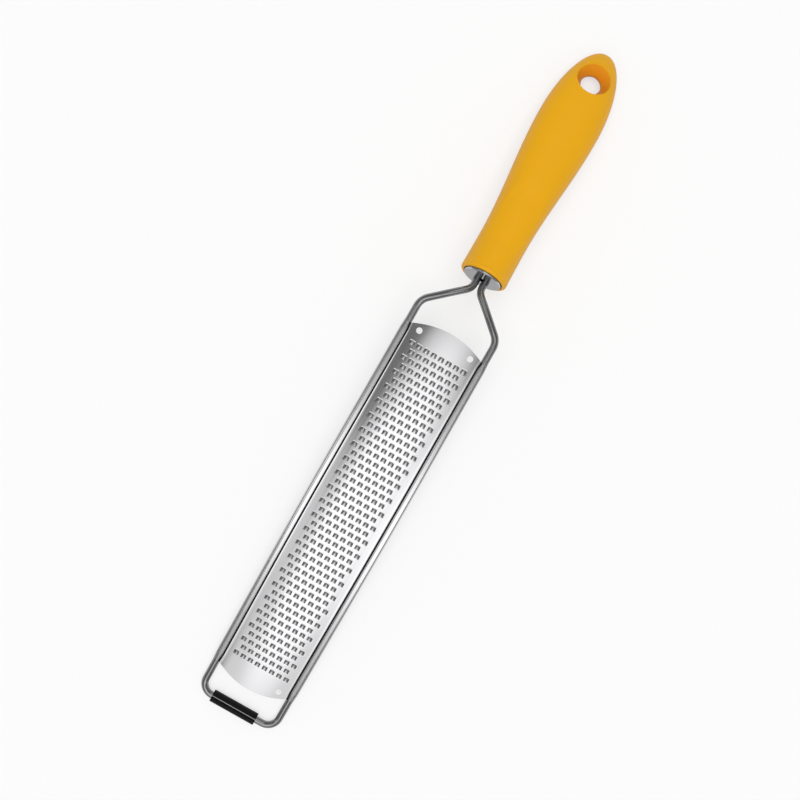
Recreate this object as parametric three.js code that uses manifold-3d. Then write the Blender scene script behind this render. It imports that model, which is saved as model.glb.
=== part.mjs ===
// Hand grater: a toothed steel blade rolled onto a wire frame, with a bent neck, a grip and a rubber foot.
// Millimetres, +Z up. The tool lies as it is put down, on its foot and on the grip's butt, with the teeth up.
// X runs across the blade, Y from the foot to the grip, and the origin is on the foot's flat underside.

import * as THREE from "three";
import { mergeVertices } from "three/addons/utils/BufferGeometryUtils.js";
import Module from "manifold-3d";

const wasm = await Module();
wasm.setup();

// Fits
const CLEARANCE = 0.3;               // between any two pieces that touch

// Wire frame, bent flat first and then folded at the neck
const WIRE_DIAMETER = 3.1;
const FOOT_INSIDE_RADIUS = 4;        // inside radii of the wire's bends
const SHOULDER_INSIDE_RADIUS = 5.6;
const NECK_INSIDE_RADIUS = 3.4;
const FOOT_WINDOW = 15.3;            // foot bar to the blade's lower corners
const SHOULDER_GAP = 10.4;           // blade's upper corners to the shoulders
const LEG_RISE = 14.5;               // shoulders to the neck corners
const NECK_STRAIGHT = 5.4;           // neck corners to the cap's face
const TANG_GAP = 0.6;                // between the two wires where they enter the cap
const TANG_END_GAP = 19;             // wire's ends to the far end of the core
const FOLD_DEGREES = 24;             // how far the handle leans back from the blade
const FOLD_RADIUS = 25;

// Blade: staggered rows of square holes, each with a tongue raised from its foot side
const SHEET_THICKNESS = 0.35;
const BLADE_LENGTH = 168.75;         // from its lower corners to its upper ones
const HOLES_IN_LONG_ROW = 8;         // every other row has one hole less
const HOLE_WIDTH = 2.1;
const HOLE_LENGTH = 2.25;
const HOLE_BRIDGE = 1.4;             // metal between the holes of a row
const ROW_BRIDGE = 1.25;             // metal between the rows
const SIDE_MARGIN = 3;               // outermost holes to the creases along the rails
const FOOT_MARGIN = 6.2;             // least metal between the rows and the lower corners
const NECK_MARGIN = 5.5;             // least metal between the rows and the upper corners
const END_BOW = 4.2;                 // how far the blade's ends bulge past their corners
const ARCH_RISE = 1.3;               // crown of the blade above its creases
const TONGUE_RISE = 0.55;
const TONGUE_TIP_GAP = 0.85;         // tongue's tip to the far side of its hole
const TONGUE_SIDE_GAP = 0.4;
const CREASE_DEGREES = 145;          // round the rail, from its outer side up and over its top
const HEM_END_DEGREES = -20;
const CORNER_HOLE_DIAMETER = 2.7;
const CORNER_HOLE_SIDE_INSET = 4.3;  // from the crease
const CORNER_HOLE_END_INSET = 1.1;   // from the line between two corners

// Handle, measured along its own axis from the grip's neck end
const CAP_DIAMETER = 17;
const CAP_THICKNESS = 2.6;
const CAP_PROUD = 0.8;
const CAP_EDGE_RADIUS = 0.7;
const CORE_SIDE_WALL = 2.3;          // core beside the wires
const CORE_TAIL_WALL = 25;           // core's far end to the hanging hole's rim
const END_RIM = 1.9;                 // grip's end beyond the cap, all round
const END_ROUND = 1.3;
const WAIST_DISTANCE = 17;
const WAIST_SIDE_WALL = 3.9;         // grip around the core, at its sides and at its faces
const WAIST_FACE_WALL = 3.1;
const BELLY_DISTANCE = 62.5;         // waist to the widest place
const BELLY_SWELL = 3.75;            // how much further each side stands out there
const TIP_LENGTH = 36.5;             // widest place to the butt, a half ellipse
const HANG_HOLE_DIAMETER = 9;
const HANG_TIP_WALL = 8.85;          // hanging hole's rim to the butt
const HANG_FLARE = 2.65;             // how much wider the hole is at the faces, on each side
const HANG_FLARE_DEPTH = 5;

// Foot: a split rubber sleeve on the bar
const FOOT_WALL = 0.9;
const FOOT_SLIT = 0.5;
const FOOT_FLAT = 0.25;              // depth of the flat that it stands on
const FOOT_LEFT_GAP = 0.2;           // ends of the sleeve to the bends beside them
const FOOT_RIGHT_GAP = 2.9;

// Facets
const WIRE_SIDES = 12;
const BEND_STEP_DEGREES = 12;
const FOLD_STEPS = 4;
const HEM_STEPS = 9;
const END_STEPS = 12;
const ROUND_SIDES = 32;
const GRIP_STEPS = 10;
const EDGE_STEPS = 4;
const WELD = 1e-5;                   // vertices closer than this are one vertex
const SLIVER = 0.05;                 // least share of a run that is worth a step of its own

// Places that follow from the sizes
const { degToRad, lerp, clamp } = THREE.MathUtils;
const foldAngle = degToRad(FOLD_DEGREES);
const creaseAngle = degToRad(CREASE_DEGREES);
const wireRadius = WIRE_DIAMETER / 2;
const wireSeat = wireRadius + CLEARANCE;
const footBend = FOOT_INSIDE_RADIUS + wireRadius;
const tangX = (WIRE_DIAMETER + TANG_GAP) / 2;

const holePitch = HOLE_WIDTH + HOLE_BRIDGE;
const rowPitch = HOLE_LENGTH + ROW_BRIDGE;
const hemOutside = wireSeat + SHEET_THICKNESS;
const creaseX = (HOLES_IN_LONG_ROW * holePitch - HOLE_BRIDGE) / 2 + SIDE_MARGIN;
const creaseZ = wireSeat * Math.sin(creaseAngle);
const railX = creaseX - wireSeat * Math.cos(creaseAngle);

const lowerCornerY = FOOT_WINDOW;
const upperCornerY = lowerCornerY + BLADE_LENGTH;
const rowRoom = BLADE_LENGTH - FOOT_MARGIN - NECK_MARGIN;
const rows = Math.floor((rowRoom + ROW_BRIDGE) / rowPitch);
const spareRoom = rowRoom + ROW_BRIDGE - rows * rowPitch;
const lastRowY = lowerCornerY + FOOT_MARGIN + spareRoom / 2;
const shoulderY = upperCornerY + SHOULDER_GAP;
const neckY = shoulderY + LEG_RISE;
const gripEndY = neckY + NECK_STRAIGHT + CAP_PROUD;

const foldLength = FOLD_RADIUS * foldAngle;
const foldStartY = shoulderY + (LEG_RISE - foldLength) / 2;
const foldEndY = foldStartY + foldLength;

const capHalf = CAP_DIAMETER / 2;
const coreHalf = tangX + wireSeat + CORE_SIDE_WALL;
const boreHalf = coreHalf + CLEARANCE;
const endHalf = capHalf + END_RIM;
const waistHalfWidth = boreHalf + WAIST_SIDE_WALL;
const waistHalfThickness = boreHalf + WAIST_FACE_WALL;
const bellyHalfWidth = waistHalfWidth + BELLY_SWELL;
const bellyY = WAIST_DISTANCE + BELLY_DISTANCE;
const gripLength = bellyY + TIP_LENGTH;
const hangRim = HANG_HOLE_DIAMETER / 2 + HANG_FLARE;
const hangY = gripLength - HANG_TIP_WALL - hangRim;
const capBack = CAP_THICKNESS - CAP_PROUD;
const coreStart = capBack + CLEARANCE;
const coreEnd = hangY - hangRim - CORE_TAIL_WALL;
const tangEnd = coreEnd - TANG_END_GAP;

const footOutside = wireSeat + FOOT_WALL;
const barHeight = footOutside - FOOT_FLAT;

// A closed geometry with shared vertices and without the flat triangles that a lathe leaves at its poles.
function welded(geometry) {
  const bare = geometry.clone();
  bare.deleteAttribute("normal");
  bare.deleteAttribute("uv");
  const merged = mergeVertices(bare, WELD);
  const corners = merged.index.array;
  const kept = [];
  for (let i = 0; i < corners.length; i += 3) {
    const [a, b, c] = corners.slice(i, i + 3);
    if (a !== b && b !== c && c !== a) kept.push(a, b, c);
  }
  merged.setIndex(kept);
  return merged;
}

function solid(geometry) {
  const closed = welded(geometry);
  return new wasm.Manifold(new wasm.Mesh({
    numProp: 3,
    vertProperties: new Float32Array(closed.attributes.position.array),
    triVerts: new Uint32Array(closed.index.array),
  }));
}

function cut(geometry, ...cutters) {
  const body = cutters.reduce((left, cutter) => left.subtract(solid(cutter)), solid(geometry));
  const { vertProperties, triVerts } = body.getMesh();
  const result = new THREE.BufferGeometry();
  result.setAttribute("position", new THREE.BufferAttribute(new Float32Array(vertProperties), 3));
  result.setIndex(new THREE.BufferAttribute(new Uint32Array(triVerts), 1));
  return result;
}

function piece(name, geometry, color, roughness, metalness) {
  const faceted = geometry.index ? geometry.toNonIndexed() : geometry;
  faceted.computeVertexNormals();
  const mesh = new THREE.Mesh(faceted, new THREE.MeshStandardMaterial({ color, roughness, metalness }));
  mesh.name = name;
  return mesh;
}

// Where a place on the flat frame comes to lie: below the fold it stays, above it slopes away from the teeth.
function folded(x, y) {
  const turn = clamp((y - foldStartY) / FOLD_RADIUS, 0, foldAngle);
  const beyond = Math.max(y - foldEndY, 0);
  return new THREE.Vector3(
    x,
    Math.min(y, foldStartY) + FOLD_RADIUS * Math.sin(turn) + beyond * Math.cos(turn),
    -FOLD_RADIUS * (1 - Math.cos(turn)) - beyond * Math.sin(turn),
  );
}

// How steeply the blade lies when the foot and the butt both touch the ground, found by halving.
function restSlope() {
  const belly = folded(0, gripEndY + bellyY);
  const buttHeight = (slope) => {
    const fall = foldAngle - slope;
    const reach = Math.hypot(TIP_LENGTH * Math.sin(fall), waistHalfThickness * Math.cos(fall));
    return barHeight + belly.y * Math.sin(slope) + belly.z * Math.cos(slope) - reach;
  };
  let slope = 0;
  for (let step = foldAngle / 2; step > WELD ** 2; step /= 2) {
    if (buttHeight(slope + step) < 0) slope += step;
  }
  return slope;
}

// A wire's centreline: its rings stand exactly at the points, square to the mean of the two runs that meet.
class BentWire extends THREE.Curve {
  constructor(points) {
    super();
    this.points = points;
  }

  indexAt(u) {
    return Math.round(u * (this.points.length - 1));
  }

  getPointAt(u) {
    return this.points[this.indexAt(u)].clone();
  }

  getTangentAt(u) {
    const i = this.indexAt(u);
    const here = this.points[i];
    const before = this.points[Math.max(i - 1, 0)];
    const after = this.points[Math.min(i + 1, this.points.length - 1)];
    const arriving = here.clone().sub(before).normalize();
    const leaving = after.clone().sub(here).normalize();
    return arriving.add(leaving).normalize();
  }
}

// A line through corners, each rounded by an arc whose inside radius is the corner's bend.
function bentLine(corners) {
  return corners.flatMap(({ at, bend }, i) => {
    if (bend === undefined) return [at];
    const radius = bend + wireRadius;
    const back = corners[i - 1].at.clone().sub(at).normalize();
    const onward = corners[i + 1].at.clone().sub(at).normalize();
    const turn = Math.PI - back.angleTo(onward);
    const towardsCentre = back.clone().add(onward).normalize();
    const centre = at.clone().addScaledVector(towardsCentre, radius / Math.cos(turn / 2));
    const start = at.clone().addScaledVector(back, radius * Math.tan(turn / 2));
    const side = -Math.sign(back.cross(onward));
    const steps = Math.ceil(turn / degToRad(BEND_STEP_DEGREES));
    return Array.from(
      { length: steps + 1 },
      (_, k) => start.clone().rotateAround(centre, side * turn * k / steps),
    );
  });
}

// The line with a point added wherever it crosses a step of the fold.
function withFoldSteps(line) {
  const stations = Array.from(
    { length: FOLD_STEPS + 1 },
    (_, k) => foldStartY + foldLength * k / FOLD_STEPS,
  );
  return line.flatMap((point, i) => {
    const from = line[Math.max(i - 1, 0)];
    const crossings = stations
      .map((y) => (y - from.y) / (point.y - from.y))
      .filter((share) => share > SLIVER && share < 1 - SLIVER)
      .sort((a, b) => a - b);
    return [...crossings.map((share) => from.clone().lerp(point, share)), point];
  });
}

function wireFrame() {
  const right = [
    { at: new THREE.Vector2(tangX, gripEndY + tangEnd) },
    { at: new THREE.Vector2(tangX, neckY), bend: NECK_INSIDE_RADIUS },
    { at: new THREE.Vector2(railX, shoulderY), bend: SHOULDER_INSIDE_RADIUS },
    { at: new THREE.Vector2(railX, 0), bend: FOOT_INSIDE_RADIUS },
  ];
  const left = right.map(({ at, bend }) => ({ at: new THREE.Vector2(-at.x, at.y), bend })).reverse();
  const flat = withFoldSteps(bentLine([...right, ...left]));
  const section = new THREE.Shape().absarc(0, 0, wireRadius, 0, 2 * Math.PI);
  return new THREE.ExtrudeGeometry(section, {
    steps: flat.length - 1,
    curveSegments: WIRE_SIDES / 2,
    extrudePath: new BentWire(flat.map(({ x, y }) => folded(x, y))),
  });
}

// Triangles of the strip between two rows of points that run the same way, the lower row first.
function strip(lower, upper, along) {
  const triangles = [];
  let i = 0;
  let j = 0;
  while (i + 1 < lower.length || j + 1 < upper.length) {
    const lowerNext = i + 1 < lower.length ? along(lower[i + 1]) : Infinity;
    const upperNext = j + 1 < upper.length ? along(upper[j + 1]) : Infinity;
    if (lowerNext <= upperNext) {
      triangles.push([lower[i], lower[i + 1], upper[j]]);
      i += 1;
    } else {
      triangles.push([lower[i], upper[j + 1], upper[j]]);
      j += 1;
    }
  }
  return triangles;
}

// How far an arc of a given rise over the blade's width stands above its chord.
function bowAt(x, rise) {
  const radius = (creaseX ** 2 + rise ** 2) / (2 * rise);
  return rise - radius + Math.sqrt(radius ** 2 - x ** 2);
}

// Underside of the blade's floor, a shallow arch from crease to crease.
const floorZ = (x) => creaseZ + bowAt(x, ARCH_RISE);

// The sheet as a net of triangles: each point has its place on the underside and on the upper side.
class Sheet {
  constructor() {
    this.points = [];
    this.triangles = [];
    this.tongues = new Map();
  }

  add(under, over) {
    this.points.push({ under, over });
    return this.points.length - 1;
  }

  floorPoint(x, y) {
    if (Math.abs(x) >= creaseX) return this.creasePoint(Math.sign(x), y);
    const under = new THREE.Vector3(x, y, floorZ(x));
    return this.add(under, under.clone().setZ(under.z + SHEET_THICKNESS));
  }

  // Floor and hem meet in a mitre at the crease.
  creasePoint(side, y) {
    const slope = Math.asin(2 * creaseX * ARCH_RISE / (creaseX ** 2 + ARCH_RISE ** 2));
    const floorNormal = new THREE.Vector2(Math.sin(slope), Math.cos(slope));
    const hemNormal = new THREE.Vector2(Math.cos(creaseAngle), Math.sin(creaseAngle));
    const mitre = floorNormal.clone().add(hemNormal);
    mitre.multiplyScalar(SHEET_THICKNESS / (1 + floorNormal.dot(hemNormal)));
    const under = new THREE.Vector3(side * creaseX, y, creaseZ);
    return this.add(under, under.clone().add(new THREE.Vector3(side * mitre.x, 0, mitre.y)));
  }

  hemPoint(side, angle, y) {
    const place = (radius) => new THREE.Vector3(
      side * (railX + radius * Math.cos(angle)),
      y,
      radius * Math.sin(angle),
    );
    return this.add(place(wireSeat), place(hemOutside));
  }

  fill(lower, upper, axis) {
    this.triangles.push(...strip(lower, upper, (i) => this.points[i].under[axis]));
  }

  // Both faces, a wall along each free edge, and a tongue in place of the wall where one is raised.
  geometry() {
    const corners = this.points.flatMap(({ under, over }) => [under, over]);
    const under = (i) => 2 * i;
    const over = (i) => 2 * i + 1;
    const faces = [];
    const edges = new Set();
    this.triangles.forEach(([a, b, c]) => {
      faces.push([over(a), over(b), over(c)], [under(a), under(c), under(b)]);
      [[a, b], [b, c], [c, a]].forEach(([from, to]) => edges.add(`${from} ${to}`));
    });
    edges.forEach((edge) => {
      const [a, b] = edge.split(" ").map(Number);
      if (edges.has(`${b} ${a}`)) return;
      const tongue = this.tongues.get(edge);
      if (!tongue) {
        faces.push([under(a), under(b), over(b)], [under(a), over(b), over(a)]);
        return;
      }
      const tipA = corners.push(tongue.startTip) - 1;
      const tipB = corners.push(tongue.endTip) - 1;
      faces.push([under(a), under(b), tipB], [under(a), tipB, tipA]);
      faces.push([over(b), over(a), tipA], [over(b), tipA, tipB]);
      faces.push([under(a), tipA, over(a)], [under(b), over(b), tipB]);
    });
    const geometry = new THREE.BufferGeometry().setFromPoints(corners);
    geometry.setIndex(faces.flat());
    return geometry;
  }
}

// One row of holes, counted from the foot: its two edges, with the bridges and the tongues between.
function holeRow(sheet, row) {
  const holes = HOLES_IN_LONG_ROW - row % 2;
  const startX = -(holes * holePitch - HOLE_BRIDGE) / 2;
  const lowerY = lastRowY + row * rowPitch;
  const upperY = lowerY + HOLE_LENGTH;
  const holeSides = Array.from({ length: holes }, (_, k) => startX + k * holePitch)
    .flatMap((x) => [x, x + HOLE_WIDTH]);
  const stations = [-creaseX, ...holeSides, creaseX];
  const lower = stations.map((x) => sheet.floorPoint(x, lowerY));
  const upper = stations.map((x) => sheet.floorPoint(x, upperY));
  const tipZ = SHEET_THICKNESS + TONGUE_RISE;
  const tip = (x) => new THREE.Vector3(x, upperY - TONGUE_TIP_GAP, floorZ(x) + tipZ);
  for (let k = 0; k < stations.length; k += 2) {
    sheet.fill(lower.slice(k, k + 2), upper.slice(k, k + 2), "x");
  }
  for (let k = 1; k + 1 < stations.length; k += 2) {
    sheet.tongues.set(`${lower[k + 1]} ${lower[k]}`, {
      startTip: tip(stations[k + 1] - TONGUE_SIDE_GAP),
      endTip: tip(stations[k] + TONGUE_SIDE_GAP),
    });
  }
  return { lower, upper };
}

// The blade's end, an arc through both corners that bulges outwards.
function bladeEnd(sheet, cornerY, outward) {
  return Array.from({ length: END_STEPS + 1 }, (_, k) => {
    const x = creaseX * (2 * k / END_STEPS - 1);
    return sheet.floorPoint(x, cornerY + outward * bowAt(x, END_BOW));
  });
}

// The hem from the crease over the rail's top to its outer side, joined to the ends of the floor's lines.
function rollHem(sheet, side, creaseLine) {
  let inner = creaseLine;
  for (let k = 1; k <= HEM_STEPS; k += 1) {
    const angle = lerp(creaseAngle, degToRad(HEM_END_DEGREES), k / HEM_STEPS);
    const outer = [lowerCornerY, upperCornerY].map((y) => sheet.hemPoint(side, angle, y));
    if (side > 0) sheet.fill(outer, inner, "y");
    else sheet.fill(inner, outer, "y");
    inner = outer;
  }
}

function gratingBlade() {
  const sheet = new Sheet();
  const lines = [bladeEnd(sheet, lowerCornerY, -1)];
  for (let row = 0; row < rows; row += 1) {
    const { lower, upper } = holeRow(sheet, row);
    sheet.fill(lines.at(-1), lower, "x");
    lines.push(lower, upper);
  }
  const top = bladeEnd(sheet, upperCornerY, 1);
  sheet.fill(lines.at(-1), top, "x");
  lines.push(top);
  rollHem(sheet, 1, lines.map((line) => line.at(-1)));
  rollHem(sheet, -1, lines.map((line) => line[0]));

  const drillRadius = CORNER_HOLE_DIAMETER / 2;
  const drillLength = 4 * (wireSeat + ARCH_RISE);
  const drill = (side, y) => new THREE.CylinderGeometry(drillRadius, drillRadius, drillLength, WIRE_SIDES)
    .rotateX(Math.PI / 2)
    .translate(side * (creaseX - CORNER_HOLE_SIDE_INSET), y, 0);
  return cut(
    sheet.geometry(),
    drill(-1, upperCornerY - CORNER_HOLE_END_INSET),
    drill(1, upperCornerY - CORNER_HOLE_END_INSET),
    drill(1, lowerCornerY + CORNER_HOLE_END_INSET),
  );
}

// The room that both wires take side by side, in the handle's section.
function tangSlot(path) {
  path.absarc(tangX, 0, wireSeat, -Math.PI / 2, Math.PI / 2);
  path.absarc(-tangX, 0, wireSeat, Math.PI / 2, 3 * Math.PI / 2);
  path.closePath();
  return path;
}

// A section carried along the handle's axis from one distance to another.
function alongHandle(section, from, to) {
  const prism = new THREE.ExtrudeGeometry(section, {
    depth: to - from,
    bevelEnabled: false,
    curveSegments: WIRE_SIDES,
  });
  return prism.rotateX(-Math.PI / 2).translate(0, from, 0);
}

// A quarter of an ellipse as points, anticlockwise from its start angle.
function quarterRound(centre, radiusX, radiusY, startAngle) {
  return Array.from({ length: EDGE_STEPS + 1 }, (_, k) => {
    const angle = startAngle + Math.PI / 2 * k / EDGE_STEPS;
    return new THREE.Vector2(radiusX * Math.cos(angle), radiusY * Math.sin(angle)).add(centre);
  });
}

function ferruleCap() {
  const edgeCentre = new THREE.Vector2(capHalf - CAP_EDGE_RADIUS, CAP_EDGE_RADIUS - CAP_PROUD);
  const disc = new THREE.LatheGeometry([
    new THREE.Vector2(0, -CAP_PROUD),
    ...quarterRound(edgeCentre, CAP_EDGE_RADIUS, CAP_EDGE_RADIUS, -Math.PI / 2),
    new THREE.Vector2(capHalf, capBack),
    new THREE.Vector2(0, capBack),
  ], ROUND_SIDES);
  return cut(disc, alongHandle(tangSlot(new THREE.Shape()), -CAP_THICKNESS, CAP_THICKNESS));
}

function handleCore() {
  const section = new THREE.Shape().absarc(0, 0, coreHalf, 0, 2 * Math.PI);
  section.holes.push(tangSlot(new THREE.Path()));
  return alongHandle(section, coreStart, coreEnd);
}

// The grip's half size at a distance from its neck end: it draws in to the waist, swells to the belly
// along a cosine, and closes at the butt in a half ellipse.
function gripHalf(y, waist, belly) {
  if (y < WAIST_DISTANCE) return waist + (endHalf - waist) * (1 - y / WAIST_DISTANCE) ** 2;
  if (y < bellyY) {
    const share = (y - WAIST_DISTANCE) / BELLY_DISTANCE;
    return waist + (belly - waist) * (1 - Math.cos(Math.PI * share)) / 2;
  }
  return belly * Math.sqrt(1 - Math.min((y - bellyY) / TIP_LENGTH, 1) ** 2);
}

const gripHalfWidth = (y) => gripHalf(y, waistHalfWidth, bellyHalfWidth);
const gripHalfThickness = (y) => gripHalf(y, waistHalfThickness, waistHalfThickness);

// The hanging hole: a straight throat that flares in a quarter ellipse towards both faces.
function hangingHole() {
  const face = gripHalfThickness(hangY);
  const depth = Math.min(HANG_FLARE_DEPTH, face);
  const flare = quarterRound(new THREE.Vector2(hangRim, face - depth), HANG_FLARE, depth, Math.PI / 2);
  const upper = [
    ...flare.reverse(),
    new THREE.Vector2(hangRim, waistHalfThickness + CLEARANCE),
    new THREE.Vector2(0, waistHalfThickness + CLEARANCE),
  ];
  const lower = upper.map(({ x, y }) => new THREE.Vector2(x, -y)).reverse();
  return new THREE.LatheGeometry([...lower, ...upper], ROUND_SIDES)
    .rotateX(Math.PI / 2)
    .translate(0, hangY, 0);
}

// The bore for the core, with a wider seat for the cap at its mouth.
function gripBore() {
  const seatHalf = capHalf + CLEARANCE;
  return new THREE.LatheGeometry([
    new THREE.Vector2(0, -CAP_THICKNESS),
    new THREE.Vector2(seatHalf, -CAP_THICKNESS),
    new THREE.Vector2(seatHalf, coreStart),
    new THREE.Vector2(boreHalf, coreStart),
    new THREE.Vector2(boreHalf, coreEnd + CLEARANCE),
    new THREE.Vector2(0, coreEnd + CLEARANCE),
  ], ROUND_SIDES);
}

function handleGrip() {
  const steps = (count, place) => Array.from({ length: count }, (_, k) => place((k + 1) / count));
  const stations = [
    ...steps(EDGE_STEPS, (share) => lerp(END_ROUND, WAIST_DISTANCE, share)),
    ...steps(GRIP_STEPS, (share) => lerp(WAIST_DISTANCE, bellyY, share)),
    ...steps(GRIP_STEPS, (share) => bellyY + TIP_LENGTH * Math.sin(Math.PI / 2 * share)),
  ];
  const edgeCentre = new THREE.Vector2(gripHalfWidth(END_ROUND) - END_ROUND, END_ROUND);
  const body = new THREE.LatheGeometry([
    new THREE.Vector2(0, 0),
    ...quarterRound(edgeCentre, END_ROUND, END_ROUND, -Math.PI / 2),
    ...stations.map((y) => new THREE.Vector2(gripHalfWidth(y), y)),
  ], ROUND_SIDES);
  const places = body.attributes.position;
  for (let i = 0; i < places.count; i += 1) {
    const y = clamp(places.getY(i), END_ROUND, stations.at(-2));
    places.setZ(i, places.getZ(i) * gripHalfThickness(y) / gripHalfWidth(y));
  }
  return cut(body, gripBore(), hangingHole());
}

// The sleeve's section, a ring that is slit at the top and flat at the bottom, carried along the bar.
function footSleeve() {
  const slitOutside = Math.asin(FOOT_SLIT / 2 / footOutside);
  const slitInside = Math.asin(FOOT_SLIT / 2 / wireSeat);
  const flatHalf = Math.acos(barHeight / footOutside);
  const top = Math.PI / 2;
  const bottom = 3 * Math.PI / 2;
  const section = new THREE.Shape();
  section.absarc(0, 0, footOutside, top + slitOutside, bottom - flatHalf);
  section.absarc(0, 0, footOutside, bottom + flatHalf, 2 * Math.PI + top - slitOutside);
  section.absarc(0, 0, wireSeat, top - slitInside, top + slitInside, true);
  section.closePath();
  const start = footBend + FOOT_LEFT_GAP - railX;
  const end = railX - footBend - FOOT_RIGHT_GAP;
  const sleeve = new THREE.ExtrudeGeometry(section, {
    depth: end - start,
    bevelEnabled: false,
    curveSegments: WIRE_SIDES,
  });
  return sleeve.rotateX(Math.PI / 2).rotateZ(Math.PI / 2).translate(start, 0, 0);
}

const handle = new THREE.Group();
handle.position.copy(folded(0, gripEndY));
handle.rotation.x = -foldAngle;
handle.add(
  piece("ferrule_cap", ferruleCap(), 0xd4d6d8, 0.12, 1),
  piece("handle_core", handleCore(), 0xe6e2d8, 0.6, 0),
  piece("handle_grip", handleGrip(), 0xe5aa1a, 0.5, 0),
);

const tool = new THREE.Group();
tool.position.z = barHeight;
tool.rotation.x = restSlope();
tool.add(
  piece("wire_frame", wireFrame(), 0xb9bcc0, 0.2, 1),
  piece("grating_blade", gratingBlade(), 0xd0d2d4, 0.35, 1),
  handle,
);

const foot = piece("foot_sleeve", footSleeve(), 0x141414, 0.75, 0);
foot.position.z = barHeight;

const grater = new THREE.Group();
grater.add(tool, foot);

export default grater;
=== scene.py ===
"""Long hand grater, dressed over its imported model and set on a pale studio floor."""
import math
from types import SimpleNamespace

import bpy
import numpy as np
from mathutils import Matrix, Vector


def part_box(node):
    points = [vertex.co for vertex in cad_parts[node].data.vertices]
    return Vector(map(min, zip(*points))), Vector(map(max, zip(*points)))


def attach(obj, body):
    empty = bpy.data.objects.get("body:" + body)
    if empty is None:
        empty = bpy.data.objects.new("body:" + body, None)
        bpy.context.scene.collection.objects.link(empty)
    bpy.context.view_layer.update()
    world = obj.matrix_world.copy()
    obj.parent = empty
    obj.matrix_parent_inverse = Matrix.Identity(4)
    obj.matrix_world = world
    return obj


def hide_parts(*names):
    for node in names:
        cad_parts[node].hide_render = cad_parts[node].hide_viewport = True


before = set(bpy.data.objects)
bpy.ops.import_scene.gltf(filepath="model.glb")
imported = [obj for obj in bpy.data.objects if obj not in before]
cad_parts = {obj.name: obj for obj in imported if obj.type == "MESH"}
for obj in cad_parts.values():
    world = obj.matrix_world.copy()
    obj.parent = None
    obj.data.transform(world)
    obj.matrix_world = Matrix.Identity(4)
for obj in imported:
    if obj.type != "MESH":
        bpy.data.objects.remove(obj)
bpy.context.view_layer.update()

bl_info = {
    "name": "Hand grater",
    "version": (1, 0, 0),
    "blender": (4, 5, 0),
    "location": "3D View > Sidebar > Grater",
    "description": "Builds a long hand grater over its packed model and sets it on a studio floor",
    "category": "Add Mesh",
}

# A millimetre in metres, the distance below which two points are one, and the angle past which an edge is
# shaded sharp.
MM = 0.001
WELD = 1e-7
SHARP_EDGE = math.radians(35)
# Exponent of a round superellipse, and the points of a rounded edge.
ROUND = 2.0
CORNER_STEPS = 8


def length(name, millimetres, description):
    """Length property, whose default is given in millimetres."""
    return bpy.props.FloatProperty(name=name, description=description, default=millimetres * MM,
                                   min=0.0, precision=5, unit="LENGTH")


def turn(name, degrees, description):
    """Angle property, whose default is given in degrees."""
    return bpy.props.FloatProperty(name=name, description=description, default=math.radians(degrees),
                                   unit="ROTATION")


def amount(name, value, description):
    """Plain number that is never negative."""
    return bpy.props.FloatProperty(name=name, description=description, default=value, min=0.0)


def colour(name, value, description):
    """Linear red, green and blue."""
    return bpy.props.FloatVectorProperty(name=name, description=description, default=value, size=3,
                                         min=0.0, max=1.0, subtype="COLOR")


def place(name, millimetres, description):
    """Point in the frame, whose default is given in millimetres."""
    return bpy.props.FloatVectorProperty(name=name, description=description, size=3, unit="LENGTH",
                                         default=[value * MM for value in millimetres], subtype="XYZ")


class WireSizes(bpy.types.PropertyGroup):
    """Bent wire that carries the blade and runs into the grip."""
    diameter: length("Wire diameter", 3.1, "Thickness of the wire")
    rail_reach: length("Rail reach", 18.0, "Middle plane to the middle of a rail")
    rail_bow: length("Rail bow", 0.52, "How far each rail bows outwards half way along")
    tang_reach: length("Tang reach", 1.85, "Middle plane to the middle of a tang")
    shoulder_place: length("Shoulder place", 194.45, "Foot bar to the corners of the shoulders")
    neck_place: length("Neck place", 208.95, "Foot bar to the corners of the neck")
    tang_end: length("Tang end", 264.0, "Foot bar to the ends of the wire, before the neck is folded")
    foot_bend: length("Foot bend", 5.55, "Radius of the foot corners at the middle of the wire")
    shoulder_bend: length("Shoulder bend", 7.15, "Radius of the shoulders at the middle of the wire")
    neck_bend: length("Neck bend", 4.95, "Radius of the neck bends at the middle of the wire")
    fold_start: length("Fold start", 196.464, "Foot bar to where the legs start to fold down")
    fold_radius: length("Fold radius", 25.0, "Radius in which the legs fold down to the grip")


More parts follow.
